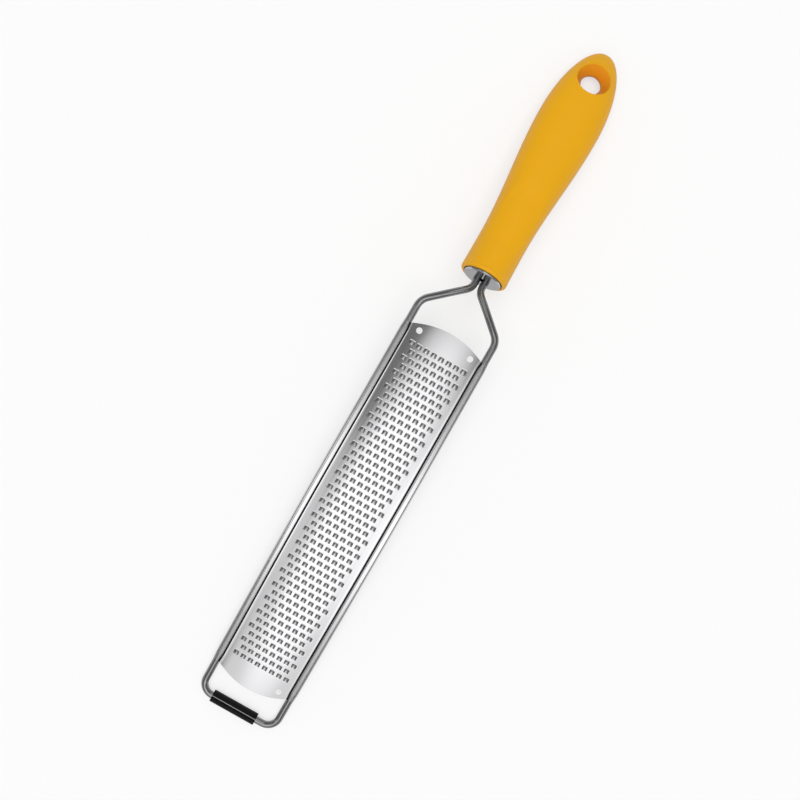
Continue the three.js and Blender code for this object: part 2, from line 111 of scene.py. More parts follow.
class BladeSizes(bpy.types.PropertyGroup):
    """Arched sheet with rows of raised teeth, rolled over the rails.

    A hole is twice as wide as the bridge beside it, so that the lines of long and short rows coincide."""
    thickness: length("Sheet thickness", 0.28, "Thickness of the steel sheet")
    lower_corner: length("Lower corner", 15.3, "Foot bar to the lower corners of the sheet")
    sheet_length: length("Sheet length", 168.75, "Length of the sheet from corner to corner")
    holes_across: bpy.props.IntProperty(name="Holes across", default=8, min=2,
                                        description="Holes in a long row; the rows between have one less")
    rows: bpy.props.IntProperty(name="Rows", default=45, min=1, description="Rows of holes")
    hole_width: length("Hole width", 2.33333, "Width of a tooth hole")
    hole_length: length("Hole length", 2.4, "Length of a tooth hole")
    hole_bridge: length("Hole bridge", 1.16667, "Metal between two holes of a row")
    row_bridge: length("Row bridge", 1.1, "Metal between two rows")
    first_row: length("First row", 21.9, "Foot bar to the lower edge of the first row of holes")
    end_bow: length("End bow", 4.2, "How far the ends of the sheet bow out beyond their corners")
    seat_height: length("Seat height", 0.75, "Height of the sheet's underside at the rails")
    seat_reach: length("Seat reach", 16.55, "Middle plane to the crease beside a rail")
    arch_rise: length("Arch rise", 1.3, "How far the sheet arches up between the rails")
    tongue_rise: length("Tongue rise", 0.55, "How far a tooth's tip stands above the sheet")
    tongue_length: length("Tongue length", 2.15, "Length of a tooth from its root to its tip")
    tongue_tip: length("Tongue tip", 2.2, "Width of a tooth at its tip")
    crease_radius: length("Crease radius", 0.9, "Inside radius of the crease beside a rail")
    hem_gap: length("Hem gap", 0.02, "Room between the rolled edge and the wire")
    hem_squareness: amount("Hem squareness", 2.9, "Exponent of the rolled edge: 2 is round, more is flatter")
    hem_end: turn("Hem end", -20.0, "Angle at which the rolled edge ends, from level on the outer side")
    corner_hole: length("Corner hole", 2.7, "Diameter of the round corner holes")
    corner_hole_reach: length("Corner hole reach", 12.0, "Middle plane to the middle of a corner hole")
    corner_hole_inset: length("Corner hole inset", 1.1, "Corner of the sheet to a corner hole, lengthways")


class GripSizes(bpy.types.PropertyGroup):
    """Moulded grip with a shallow thumb rest and a flared hanging hole."""
    end_radius: length("End radius", 10.4, "Radius of the grip's neck end")
    end_round: length("End round", 1.3, "Rounding of the neck end's outer edge")
    waist_place: length("Waist place", 17.0, "Neck end to the waist")
    waist_width: length("Waist half width", 10.2, "Half the width at the waist")
    half_thickness: length("Half thickness", 9.4, "Half the thickness from the waist on")
    belly_place: length("Belly place", 79.5, "Neck end to the widest point")
    belly_width: length("Belly half width", 13.95, "Half the width at the widest point")
    tip_length: length("Tip length", 36.5, "Widest point to the butt")
    squareness: amount("Squareness", 2.3, "Exponent of the section: 2 is an ellipse, more is squarer")
    hole_place: length("Hanging hole place", 100.0, "Neck end to the hanging hole")
    hole_radius: length("Hanging hole radius", 4.5, "Radius of the hanging hole's throat")
    flare_reach: length("Flare reach", 3.05, "How far the hole's flare spreads beyond the throat")
    throat_half: length("Throat half", 0.9, "Half the length of the hole's straight throat")
    thumb_place: length("Thumb rest place", 27.0, "Neck end to the middle of the thumb rest")
    thumb_length: length("Thumb rest half length", 16.0, "Half the length of the thumb rest")
    thumb_width: length("Thumb rest half width", 8.4, "Half the width of the thumb rest")
    thumb_depth: length("Thumb rest depth", 0.45, "Depth of the thumb rest")
    seat_radius: length("Seat radius", 8.8, "Radius of the seat that takes the cap")
    seat_depth: length("Seat depth", 2.1, "Depth of the seat that takes the cap")
    bore_radius: length("Bore radius", 6.3, "Radius of the bore that takes the core")
    bore_depth: length("Bore depth", 68.15, "Depth of the bore that takes the core")


class CapSizes(bpy.types.PropertyGroup):
    """Polished disc that closes the grip and lets the wires through."""
    radius: length("Cap radius", 8.5, "Outside radius of the cap")
    proud: length("Cap stand", 0.8, "How far the cap stands out of the grip")
    back: length("Cap back", 1.8, "Depth of the cap's back inside the grip")
    edge: length("Cap edge", 0.7, "Rounding of the cap's edge")
    dome: length("Cap dome", 0.25, "How far the face swells in its middle")
    slot_gap: length("Slot gap", 0.12, "Room round the wires")


class FootSizes(bpy.types.PropertyGroup):
    """Split rubber sleeve on the foot bar."""
    flat: length("Foot flat", 0.25, "How much is flattened off underneath")
    slit: length("Slit", 1.05, "Width of the slit along the top")
    grip_gap: length("Grip gap", 0.04, "Room between the sleeve and the wire")
    edge: length("Edge round", 0.22, "Rounding of the cut ends")


class Finishes(bpy.types.PropertyGroup):
    """Colours of the materials."""
    blade: colour("Blade steel", (0.66, 0.66, 0.67), "Bright satin sheet")
    wire: colour("Wire steel", (0.31, 0.31, 0.315), "Drawn and polished wire")
    cap: colour("Cap steel", (0.49, 0.49, 0.505), "Mirror-polished disc")
    grip: colour("Grip plastic", (0.78, 0.378, 0.002), "Warm yellow plastic")
    # Painted shade: the darker orange in the hanging hole stands in for its shade and interreflection.
    hole_shade: colour("Hole plastic", (0.76, 0.292, 0.012), "Deeper tone inside the hanging hole")
    foot: colour("Foot rubber", (0.003, 0.003, 0.0033), "Black rubber")
    core: colour("Core plastic", (0.70, 0.66, 0.58), "Natural plastic inside the grip")


class StageLook(bpy.types.PropertyGroup):
    """Floor, light and camera."""
    floor: colour("Floor", (0.86, 0.86, 0.86), "Colour of the studio floor")
    floor_size: length("Floor size", 60000.0, "Half the length of the floor's sides")
    floor_white: amount("Floor white", 0.6, "White that the camera and metal see mixed into the floor")
    key: amount("Key", 1.45, "Strength of the overhead key light")
    key_spread: turn("Key spread", 36.0, "Angle that the key light is spread over")
    fill: amount("Fill", 0.45, "Strength of the wide overhead fill")
    fill_spread: turn("Fill spread", 150.0, "Angle that the fill is spread over")
    sky: amount("Sky", 0.2, "Radiance of the room overhead")
    horizon: amount("Horizon", 0.32, "Radiance of the room at eye level")
    room: amount("Room lights", 1.0, "Share of the room lights' own radiance")
    camera_place: place("Camera place", (-13.785, 153.107, 699.45), "Where the camera stands")
    camera_aim: place("Camera aim", (-4.665, 151.257, 20.0), "Point that the camera looks at")
    camera_heading: turn("Camera heading", 29.56, "Turn of the picture's up direction from +Y towards -X")
    lens: amount("Lens", 72.469, "Focal length in millimetres on a sensor 36 mm wide")


class GraterSettings(bpy.types.PropertyGroup):
    """All sizes and colours of the grater and its stage."""
    wire: bpy.props.PointerProperty(type=WireSizes)
    blade: bpy.props.PointerProperty(type=BladeSizes)
    grip: bpy.props.PointerProperty(type=GripSizes)
    cap: bpy.props.PointerProperty(type=CapSizes)
    foot: bpy.props.PointerProperty(type=FootSizes)
    finish: bpy.props.PointerProperty(type=Finishes)
    stage: bpy.props.PointerProperty(type=StageLook)


def node_points(node):
    """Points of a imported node's mesh as an array of rows."""
    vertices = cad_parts[node].data.vertices
    points = np.empty(len(vertices) * 3, dtype=np.float32)
    vertices.foreach_get("co", points)
    return points.reshape(-1, 3).astype(float)


def long_axis(node):
    """Direction in which a node's points spread most, turned towards +Y.

    It is the first right singular vector of the points about their mean."""
    points = node_points(node)
    axis = np.linalg.svd(points - points.mean(axis=0), full_matrices=False)[2][0]
    return axis * np.sign(axis[1])


def tool_layout(settings):
    """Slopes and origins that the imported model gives.

    The blade's slope and the grip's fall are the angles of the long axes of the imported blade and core.
    The foot bar lies its sleeve's outside radius, less the flat, above the floor. The grip starts where
    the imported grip's points lie lowest along the core's axis."""
    blade_axis = long_axis("grating_blade")
    grip_axis = long_axis("handle_core")
    slope = math.atan2(blade_axis[2], blade_axis[1])
    fall = -math.atan2(grip_axis[2], grip_axis[1])
    sleeve_low, sleeve_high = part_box("foot_sleeve")
    sleeve_radius = (sleeve_high.y - sleeve_low.y) / 2
    axis = np.array([0.0, math.cos(fall), -math.sin(fall)])
    core_low, core_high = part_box("handle_core")
    middle = np.array((core_low + core_high) / 2)
    start = ((node_points("handle_grip") - middle) @ axis).min()
    return SimpleNamespace(
        slope=slope,
        fold=slope + fall,
        bar_height=sleeve_radius - settings.foot.flat,
        sleeve_radius=sleeve_radius,
        sleeve_ends=(sleeve_low.x, sleeve_high.x),
        grip_start=middle + axis * start,
        grip_axis=axis,
        grip_up=np.array([0.0, math.sin(fall), math.cos(fall)]),
    )


def in_grip(layout, across, along, up):
    """Grip coordinates to the frame: the start plus each coordinate times its axis."""
    across, along, up = np.broadcast_arrays(across, along, up)
    side = np.array([1.0, 0.0, 0.0])
    return (layout.grip_start + across[..., None] * side + along[..., None] * layout.grip_axis
            + up[..., None] * layout.grip_up)


def on_frame(layout, wire, across, along, up):
    """Flat frame coordinates to the resting tool.

    Beyond the fold's start the flat plane follows an arc of the fold radius, and after the fold angle a
    straight line; the height goes along the plane's normal. The whole is then turned by the slope about X
    and raised by the bar's height."""
    across, along, up = np.broadcast_arrays(across, along, up)
    bend = np.clip((along - wire.fold_start) / wire.fold_radius, 0.0, layout.fold)
    beyond = np.maximum(along - wire.fold_start - layout.fold * wire.fold_radius, 0.0)
    y = np.minimum(along, wire.fold_start) + (wire.fold_radius + up) * np.sin(bend) + beyond * np.cos(bend)
    z = (wire.fold_radius + up) * np.cos(bend) - wire.fold_radius - beyond * np.sin(bend)
    rise = math.sin(layout.slope)
    run = math.cos(layout.slope)
    return np.stack([across, y * run - z * rise, layout.bar_height + y * rise + z * run], axis=-1)


def smooth_step(value):
    """Three squares less two cubes of the value held between 0 and 1."""
    held = np.clip(value, 0.0, 1.0)
    return held * held * (3.0 - 2.0 * held)


def rails_bowed(settings, across, along):
    """Across coordinate with the rails' bow.

    The bow is a squared sine from the foot bar to the shoulders, and it fades in between the outermost
    holes and the crease, so that the rows of holes stay straight."""
    blade = settings.blade
    still = blade.holes_across * (blade.hole_width + blade.hole_bridge) / 2 - blade.hole_bridge / 2
    share = smooth_step((np.abs(across) - still) / (blade.seat_reach - still))
    part = np.clip(along / settings.wire.shoulder_place, 0.0, 1.0)
    return across + np.sign(across) * share * settings.wire.rail_bow * np.sin(np.pi * part) ** 2


def grid_quads(rows, columns, ring=False):
    """Quads of a grid that is numbered row by row; a ring joins its last column to its first."""
    index = np.arange(rows * columns).reshape(rows, columns)
    if ring:
        index = np.hstack([index, index[:, :1]])
    corners = [index[:-1, :-1], index[:-1, 1:], index[1:, 1:], index[1:, :-1]]
    return np.stack(corners, axis=-1).reshape(-1, 4)


def welded(patches):
    """Joins patches of points and quads: points that round to the same place become one."""
    all_points, all_quads = zip(*patches)
    starts = np.cumsum([0] + [len(points) for points in all_points[:-1]])
    points = np.concatenate(all_points)
    quads = np.concatenate([quads + start for quads, start in zip(all_quads, starts)])
    keys = np.round(points[:, :3] / WELD).astype(np.int64)
    first, inverse = np.unique(keys, axis=0, return_index=True, return_inverse=True)[1:]
    return points[first], inverse.reshape(-1)[quads]


def edges_of(faces):
    """Directed edges of faces that all have the same number of corners."""
    return np.stack([faces, np.roll(faces, -1, axis=1)], axis=-1).reshape(-1, 2)


def closed_faces(name, points, quads):
    """Quads and triangles of a closed skin that points outwards.

    A quad with two equal corners is a triangle, and one with more is nothing. Every directed edge has to
    occur once and its reverse once. The sum of the corner determinants gives the volume, and a negative
    one turns all faces."""
    same = quads == np.roll(quads, 1, axis=1)
    doubled = same.sum(axis=1)
    pinched = doubled == 1
    triangles = quads[pinched][~same[pinched]].reshape(-1, 3)
    quads = quads[doubled == 0]
    edges = np.concatenate([edges_of(quads), edges_of(triangles)])
    forward = np.sort(edges[:, 0] * len(points) + edges[:, 1])
    backward = np.sort(edges[:, 1] * len(points) + edges[:, 0])
    if len(np.unique(forward)) != len(forward) or not np.array_equal(forward, backward):
        raise RuntimeError(name + " is not a closed skin")
    halves = np.concatenate([triangles, quads[:, [0, 1, 2]], quads[:, [0, 2, 3]]])
    a, b, c = (points[halves[:, corner], :3] for corner in range(3))
    if np.einsum("ij,ij->", a, np.cross(b, c)) < 0:
        quads = quads[:, ::-1]
        triangles = triangles[:, ::-1]
    return quads.tolist() + triangles.tolist()


def put_piece(name, node, material, points, quads, attribute=None):
    """Makes a closed piece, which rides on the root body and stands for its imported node.

    Columns of the points after the third are an attribute of the given name: one is a number, three are a
    vector."""
    mesh = bpy.data.meshes.new(name)
    mesh.from_pydata(points[:, :3].tolist(), [], closed_faces(name, points, quads))
    if attribute:
        kind, field = ("FLOAT", "value") if points.shape[1] == 4 else ("FLOAT_VECTOR", "vector")
        layer = mesh.attributes.new(attribute, kind, "POINT")
        layer.data.foreach_set(field, points[:, 3:].astype(np.float32).ravel())
    mesh.polygons.foreach_set("use_smooth", [True] * len(mesh.polygons))
    mesh.set_sharp_from_angle(angle=SHARP_EDGE)
    mesh.materials.append(material)
    piece = bpy.data.objects.new(name, mesh)
    bpy.context.scene.collection.objects.link(piece)
    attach(piece, "root")
    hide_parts(node)


# Sides of the wire's section, distance between its rings, and points of a bend.
WIRE_SIDES = 28
WIRE_STEP = 0.8 * MM
BEND_STEPS = 24


def rounded_line(corners, radii):
    """Bent line through corners: each inner corner becomes an arc that is tangent to both of its runs.

    The arc starts a radius times the tangent of half its turn before the corner; between its ends its
    points are the two end spokes weighted by sines."""
    share = np.linspace(0.0, 1.0, BEND_STEPS)[:, None]
    line = [corners[:1]]
    for before, corner, after, radius in zip(corners, corners[1:], corners[2:], radii):
        back = (before - corner) / np.linalg.norm(before - corner)
        on = (after - corner) / np.linalg.norm(after - corner)
        bend = np.pi - np.arccos(np.clip(back @ on, -1.0, 1.0))
        inner = (back + on) / np.linalg.norm(back + on)
        middle = corner + inner * radius / np.cos(bend / 2)
        start = corner + back * radius * np.tan(bend / 2) - middle
        end = corner + on * radius * np.tan(bend / 2) - middle
        line.append(middle + (np.sin((1 - share) * bend) * start + np.sin(share * bend) * end) / np.sin(bend))
    return np.concatenate(line + [corners[-1:]])


def wire_surface(settings, layout):
    """Round section carried along the bent wire.

    The middle line is the flat outline of tangs, legs, rails and foot bar with rounded corners, taken at
    even steps and laid on the folded frame. Each ring is the sine and cosine of its angle times the radius
    along the frame's normal and the line's own side. Straightened coordinates go with the points: length
    along the wire, then the place in the section."""
    wire = settings.wire
    half = np.array([
        (wire.tang_reach, wire.tang_end),
        (wire.tang_reach, wire.neck_place),
        (wire.rail_reach, wire.shoulder_place),
        (wire.rail_reach, 0.0),
    ])
    corners = np.concatenate([half, half[::-1] * (-1.0, 1.0)])
    radii = [wire.neck_bend, wire.shoulder_bend, wire.foot_bend]
    line = rounded_line(corners, radii + radii[::-1])
    run = np.concatenate([[0.0], np.cumsum(np.linalg.norm(np.diff(line, axis=0), axis=1))])
    even = np.linspace(0.0, run[-1], int(run[-1] / WIRE_STEP))
    across = np.interp(even, run, line[:, 0])
    along = np.interp(even, run, line[:, 1])
    across = rails_bowed(settings, across, along)
    middle = on_frame(layout, wire, across, along, 0.0)
    normal = (on_frame(layout, wire, across, along, MM) - middle) / MM
    ahead = np.gradient(middle, axis=0)
    ahead /= np.linalg.norm(ahead, axis=1)[:, None]
    side = np.cross(ahead, normal)
    angle = np.arange(WIRE_SIDES) * 2 * np.pi / WIRE_SIDES
    spoke = np.ones(len(even)) * wire.diameter / 2
    middle, normal, side = (np.concatenate([rows[:1], rows, rows[-1:]]) for rows in (middle, normal, side))
    even = np.concatenate([even[:1], even, even[-1:]])
    spoke = np.concatenate([[0.0], spoke, [0.0]])
    level = spoke[:, None] * np.cos(angle)
    height = spoke[:, None] * np.sin(angle)
    rings = middle[:, None] + level[..., None] * side[:, None] + height[..., None] * normal[:, None]
    drawn = np.stack(np.broadcast_arrays(even[:, None], level, height), axis=-1)
    points = np.concatenate([rings, drawn], axis=-1).reshape(-1, 6)
    return welded([(points, grid_quads(len(even), WIRE_SIDES, ring=True))])


# Numbers that go with a point of the sheet: its place, its normal, its thickness and its painted shade.
SHEET_DATA = 8
# The rolled edge: the width in which it begins, the length in which its ends are pressed onto the wire,
# how much thinner its ends are, and how much painted shade darkens and roughens its ends, standing in
# for the dimmer light that they mirror.
HEM_BLEND = 0.6 * MM
HEM_LEAD = 4.0 * MM
HEM_PRESS = 0.6
HEM_END_SHADE = 0.38
# The crease gets painted shade, a dark line that stands in for its shadow: the normal's lean at which it
# begins, and the further lean that fills it.
SHADE_START = 0.32
SHADE_FADE = 0.1
# Lines along the sheet: from the outermost rows to an end, and for one row of teeth, whose first line
# lies before the roots.
END_ROWS = 8
ROW_LINES = 3
ROOT_LEAD = 0.3 * MM
# Points of the section: in the crease, over the rolled edge, between the last hole and the crease, and on
# the curves whose crossing gives the crease.
CREASE_STEPS = 8
HEM_STEPS = 22
SIDE_COLUMNS = 4
TRIAL_STEPS = 400
# Half size of the block that a corner hole is cut from, over the hole's radius.
HOLE_MARGIN = 1.12
# A tooth: shares of its length at which its lines lie, its columns, how far its sides fall, the power that
# it rises with, the share of its length that the tip's corners lose, and that of its thickness which the
# tip keeps.
TONGUE_PLACES = np.array([0.0, 0.12, 0.5, 1.0])
TONGUE_ROWS = len(TONGUE_PLACES)
TONGUE_COLUMNS = 9
TONGUE_FALL = 0.95
TONGUE_POWER = 1.6
TIP_ROUND = 0.14
TONGUE_EDGE = 0.3
# Painted shade on a tooth, standing in for the shadow and dark reflections on its sides and tip: its
# depth, how fast it grows towards the sides, and the part left bright.
TOOTH_SHADE_SHARE = 0.65
TOOTH_SHADE_GROWTH = 2.2
TOOTH_SHADE_START = 0.3


def arc_radius(rise, half):
    """Radius of an arc that rises by rise over a half span."""
    return (half * half + rise * rise) / (2 * rise)


def arc_rise(reach, rise, half):
    """Height above its ends of an arc that rises by rise over a half span."""
    radius = arc_radius(rise, half)
    return rise - radius + np.sqrt(radius * radius - np.minimum(np.abs(reach), half) ** 2)


def sheet_floor(blade, across):
    """Height of the sheet's underside and the two parts of its normal, on the arc across the sheet."""
    lean = np.clip(across / arc_radius(blade.arch_rise, blade.seat_reach), -1.0, 1.0)
    height = blade.seat_height + arc_rise(across, blade.arch_rise, blade.seat_reach)
    return height, lean, np.sqrt(1.0 - lean * lean)


def hole_columns(blade, row):
    """Middles of a row's holes across the sheet: even rows are long, odd rows lie between them."""
    count = blade.holes_across - row % 2
    return (np.arange(count) - (count - 1) / 2) * (blade.hole_width + blade.hole_bridge)


def hem_curve(settings, power, angle):
    """Underside of the rolled edge about the rail, and its normal, at angles from level on the outer side.

    The radius is that of a superellipse of the given power, whose top is flatter than the wire. The
    normal's parts are the powers, one lower than the exponent, of cosine and sine."""
    size = settings.wire.diameter / 2 + settings.blade.hem_gap
    cosine = np.cos(angle)
    sine = np.sin(angle)
    radius = size * (np.abs(cosine) ** power + np.abs(sine) ** power) ** (-1 / power)
    lean = np.sign(cosine) * np.abs(cosine) ** (power - 1)
    upright = np.sign(sine) * np.abs(sine) ** (power - 1)
    unit = np.hypot(lean, upright)
    return settings.wire.rail_reach + radius * cosine, radius * sine, lean / unit, upright / unit


def sheet_section(settings, power):
    """Underside of half the sheet from the middle plane out, as reach, height, normal and painted shade.

    The floor's arc ends where a crease arc of the bend's outside radius touches both it and the rolled
    edge: its middle is the crossing of both curves, each moved along its normal by that radius. The rolled
    edge then runs over the rail down to the hem's end. Painted shade, a dark line that stands in for the
    shadow in the crease, lies where the normal leans inwards."""
    blade = settings.blade
    bend = blade.crease_radius + blade.thickness
    halves = blade.hole_width / 2 * np.arange(1, TONGUE_COLUMNS // 2 + 1) / (TONGUE_COLUMNS // 2)
    offsets = np.concatenate([-halves, [0.0], halves])
    lines = np.concatenate([(hole_columns(blade, row)[:, None] + offsets).ravel() for row in (0, 1)])
    lines = np.unique(np.round(np.abs(lines) / WELD)) * WELD
    trial = np.linspace(lines[-1], settings.wire.rail_reach, TRIAL_STEPS)
    height, lean, upright = sheet_floor(blade, trial)
    floor_x = trial + bend * lean
    floor_z = height + bend * upright
    angle = np.linspace(math.pi / 2, math.pi, TRIAL_STEPS)
    hem_x, hem_z, hem_lean, hem_upright = hem_curve(settings, power, angle)
    above = hem_z + bend * hem_upright - np.interp(hem_x + bend * hem_lean, floor_x, floor_z)
    joint = np.interp(0.0, -above, angle)
    hem_x, hem_z, hem_lean, hem_upright = hem_curve(settings, power, joint)
    crease_x = hem_x + bend * hem_lean
    crease_z = hem_z + bend * hem_upright
    touch = np.interp(crease_x, floor_x, trial)
    floor = np.concatenate([lines, np.linspace(lines[-1], touch, SIDE_COLUMNS)[1:]])
    height, lean, upright = sheet_floor(blade, floor)
    start = math.atan2(-upright[-1], -lean[-1])
    sweep = np.linspace(start, math.atan2(-hem_upright, -hem_lean), CREASE_STEPS)[1:-1]
    crease = (crease_x + bend * np.cos(sweep), crease_z + bend * np.sin(sweep),
              -np.cos(sweep), -np.sin(sweep))
    hem = hem_curve(settings, power, np.linspace(joint, blade.hem_end, HEM_STEPS))
    parts = zip((floor, height, lean, upright), crease, hem)
    section = np.stack([np.concatenate(part) for part in parts], axis=-1)
    # Painted shade in the crease, standing in for the shadow there.
    painted_shade = smooth_step((-section[:, 2:3] - SHADE_START) / SHADE_FADE)
    return np.concatenate([section, painted_shade], axis=-1)


def whole_section(settings, power):
    """Section across the whole sheet: the half and its mirror image."""
    half = sheet_section(settings, power)
    mirrored = half[half[:, 0] > WELD][::-1] * (-1.0, 1.0, -1.0, 1.0, 1.0)
    return np.concatenate([mirrored, half])


def corner_hole_patch(blade, grid, metal, middle):
    """Round hole in a block of the sheet's grid, whose cells are then no longer metal.

    The block is the grid's cells around the hole. Its border is joined to a circle whose points lie at the
    angles at which the border's points are seen from the hole's middle."""
    radius = blade.corner_hole / 2
    margin = radius * HOLE_MARGIN
    column = np.argmin(np.abs(grid[0, :, 0] - middle[0]))
    left = np.searchsorted(grid[0, :, 0], middle[0] - margin) - 1
    right = np.searchsorted(grid[0, :, 0], middle[0] + margin)
    low = np.searchsorted(grid[:, column, 1], middle[1] - margin) - 1
    high = np.searchsorted(grid[:, column, 1], middle[1] + margin)
    metal[low:high, left:right] = False
    border = np.concatenate([
        grid[low, left:right],
        grid[low:high, right],
        grid[high, left + 1:right + 1][::-1],
        grid[low + 1:high + 1, left][::-1],
    ])
    seen = np.arctan2(border[:, 1] - middle[1], border[:, 0] - middle[0])
    across = middle[0] + radius * np.cos(seen)
    along = middle[1] + radius * np.sin(seen)
    height, lean, upright = sheet_floor(blade, across)
    flat = 0 * lean
    circle = np.stack([across, along, height, lean, flat, upright, flat + blade.thickness, flat], axis=-1)
    return np.concatenate([border, circle]), grid_quads(2, len(border), ring=True)


def tongue_patch(blade):
    """All teeth: each is a strip that rises with a power of its length and narrows to its tip.

    Across its width the rise falls off with the square, so that a tooth is a shallow scoop turned over. Its
    tip is rounded by the same square. The normal follows both slopes, and the sheet thins towards the tip.
    Painted shade, standing in for the shadow on a tooth's sides and tip, grows with the distance from the
    tooth's middle line and the square of its length."""
    pitch = blade.hole_length + blade.row_bridge
    middles = [np.stack(np.broadcast_arrays(hole_columns(blade, row), blade.first_row + row * pitch), axis=-1)
               for row in range(blade.rows)]
    middle = np.concatenate(middles)[:, None, None]
    part = TONGUE_PLACES[:, None]
    side = np.linspace(-1.0, 1.0, TONGUE_COLUMNS)
    half = (blade.hole_width + (blade.tongue_tip - blade.hole_width) * part) / 2
    across = middle[..., 0] + half * side
    along = middle[..., 1] + blade.tongue_length * part * (1.0 - TIP_ROUND * side ** 2)
    height, lean, upright = sheet_floor(blade, across)
    fall = 1.0 - TONGUE_FALL * side ** 2
    rise = blade.tongue_rise * part ** TONGUE_POWER
    slope_y = TONGUE_POWER * blade.tongue_rise * part ** (TONGUE_POWER - 1) * fall / blade.tongue_length
    slope_x = -2 * TONGUE_FALL * side * rise / half - lean / upright
    size = np.sqrt(1.0 + slope_x ** 2 + slope_y ** 2)
    edge = blade.thickness * (1.0 - (1.0 - TONGUE_EDGE) * part)
    # Painted shade on the tooth's sides and tip, carried in the sheet's last column.
    tone = np.clip(TOOTH_SHADE_GROWTH * np.abs(side) - TOOTH_SHADE_START + part ** 2, 0.0, 1.0)
    strip = np.stack(np.broadcast_arrays(
        across, along, height + rise * fall,
        -slope_x / size, -slope_y / size, 1.0 / size,
        edge, TOOTH_SHADE_SHARE * tone * (part > 0),
    ), axis=-1)
    quads = grid_quads(TONGUE_ROWS, TONGUE_COLUMNS)
    first = np.arange(len(middle))[:, None, None] * TONGUE_ROWS * TONGUE_COLUMNS
    return strip.reshape(-1, SHEET_DATA), (first + quads).reshape(-1, 4)


def sheet_grid(settings):
    """Underside of the sheet as a grid of its section by lines along it, and which cells are metal.

    The lines lie before and at the roots of every row of teeth and at the holes' far edges, and more run
    out to each bowed end, where the section turns into one with a round edge that is pressed thin. The
    rolled edges get painted shade at their ends, fading to none half way along by a squared sine, which
    stands in for the dimmer light that their ends mirror. Cells in the teeth's holes are no metal."""
    blade = settings.blade
    section, end_section = (whole_section(settings, power) for power in (blade.hem_squareness, ROUND))
    rows = np.arange(blade.rows) * (blade.hole_length + blade.row_bridge) + blade.first_row
    lines = np.stack([rows - ROOT_LEAD, rows, rows + blade.hole_length], axis=-1).ravel()
    end = arc_rise(section[:, 0], blade.end_bow, blade.seat_reach)
    lower = blade.lower_corner - end
    upper = blade.lower_corner + blade.sheet_length + end
    share = np.arange(END_ROWS)[:, None] / END_ROWS
    along = np.concatenate([
        lower + (lines[0] - lower) * share,
        np.broadcast_to(lines[:, None], (len(lines), len(section))),
        upper + (lines[-1] - upper) * share[::-1],
    ])
    pressed = 1.0 - smooth_step(np.minimum(along - lower, upper - along) / HEM_LEAD)
    reach, height, lean, upright, painted_shade = (a + (b - a) * pressed for a, b in zip(section.T, end_section.T))
    rolled = smooth_step((np.abs(reach) - blade.seat_reach) / HEM_BLEND)
    thickness = blade.thickness * (1.0 - HEM_PRESS * rolled * pressed)
    # Painted shade on the rolled edges' ends, for the dimmer light they mirror; none half way along.
    unshaded_middle = np.sin(np.pi * (along - lower) / (upper - lower)) ** 2
    painted_shade = np.maximum(painted_shade, HEM_END_SHADE * rolled * (1.0 - unshaded_middle))
    grid = np.stack([reach, along, height, lean, 0 * along, upright, thickness, painted_shade], axis=-1)
    metal = np.ones((len(along) - 1, len(section) - 1), dtype=bool)
    middles = (section[1:, 0] + section[:-1, 0]) / 2
    last = END_ROWS + ROW_LINES * blade.rows
    for odd in (0, 1):
        gaps = np.abs(middles[:, None] - hole_columns(blade, odd)).min(axis=1)
        first = END_ROWS + 1 + ROW_LINES * odd
        metal[first:last:2 * ROW_LINES, gaps < blade.hole_width / 2] = False
    metal[:, np.abs(middles) > blade.seat_reach] = True
    return grid, metal


def thickened(under, quads):
    """Both skins of a sheet and its faces, from the points and quads of its underside.

    A quad whose diagonals' cross product goes against its normal is turned. Every point is carried along
    its normal by its thickness, and edges without a reverse are walled between both skins."""
    facing = np.cross(under[quads[:, 2], :3] - under[quads[:, 0], :3],
                      under[quads[:, 3], :3] - under[quads[:, 1], :3])
    turned = np.einsum("ij,ij->i", facing, under[quads[:, 0], 3:6]) < 0
    quads = np.where(turned[:, None], quads[:, ::-1], quads)
    skins = np.concatenate([under[:, :3], under[:, :3] + under[:, 3:6] * under[:, 6:7]])
    count = len(under)
    edges = edges_of(quads)
    forward = edges[:, 0] * count + edges[:, 1]
    backward = edges[:, 1] * count + edges[:, 0]
    a, b = edges[~np.isin(forward, backward)].T
    walls = np.stack([b + count, a + count, a, b], axis=-1)
    return skins, np.concatenate([quads + count, quads[:, ::-1], walls])


def blade_surface(settings, layout):
    """Sheet with its teeth and corner holes, rolled over the bowed rails.

    The blocks round the corner holes, the grid and the teeth are welded to one underside, which gets its
    thickness, is bowed with the rails and is laid on the frame. The painted shade goes with the points."""
    blade = settings.blade
    grid, metal = sheet_grid(settings)
    upper_hole = blade.lower_corner + blade.sheet_length - blade.corner_hole_inset
    lower_hole = blade.lower_corner + blade.corner_hole_inset
    reach = blade.corner_hole_reach
    holes = [(-reach, upper_hole), (reach, upper_hole), (reach, lower_hole)]
    patches = [corner_hole_patch(blade, grid, metal, middle) for middle in holes]
    patches.append((grid.reshape(-1, SHEET_DATA), grid_quads(*grid.shape[:2])[metal.ravel()]))
    patches.append(tongue_patch(blade))
    under, quads = welded(patches)
    used, quads = np.unique(quads, return_inverse=True)
    under = under[used]
    skins, faces = thickened(under, quads.reshape(-1, 4))
    across = rails_bowed(settings, skins[:, 0], skins[:, 1])
    points = on_frame(layout, settings.wire, across, skins[:, 1], skins[:, 2])
    return np.concatenate([points, np.tile(under[:, 7:], (2, 1))], axis=-1), faces


# Sides and rows of the grip's skin, points round the butt, and rows in the hanging hole's flare and from
# there to the border of the tip.
GRIP_SIDES = 80
GRIP_ROWS = 56
BUTT_POINTS = 72
FLARE_ROWS = 14
CROWN_ROWS = 18
# Distance of the tip's first ring from the hanging hole, and rounding of the mouth of the cap's seat.
TIP_LEAD = 13 * MM
SEAT_LIP = 0.25 * MM
# Exponent of the thumb rest's outline, and the part of the sum of powers over which its depth fades in.
THUMB_POWER = 4
THUMB_FADE = 0.8


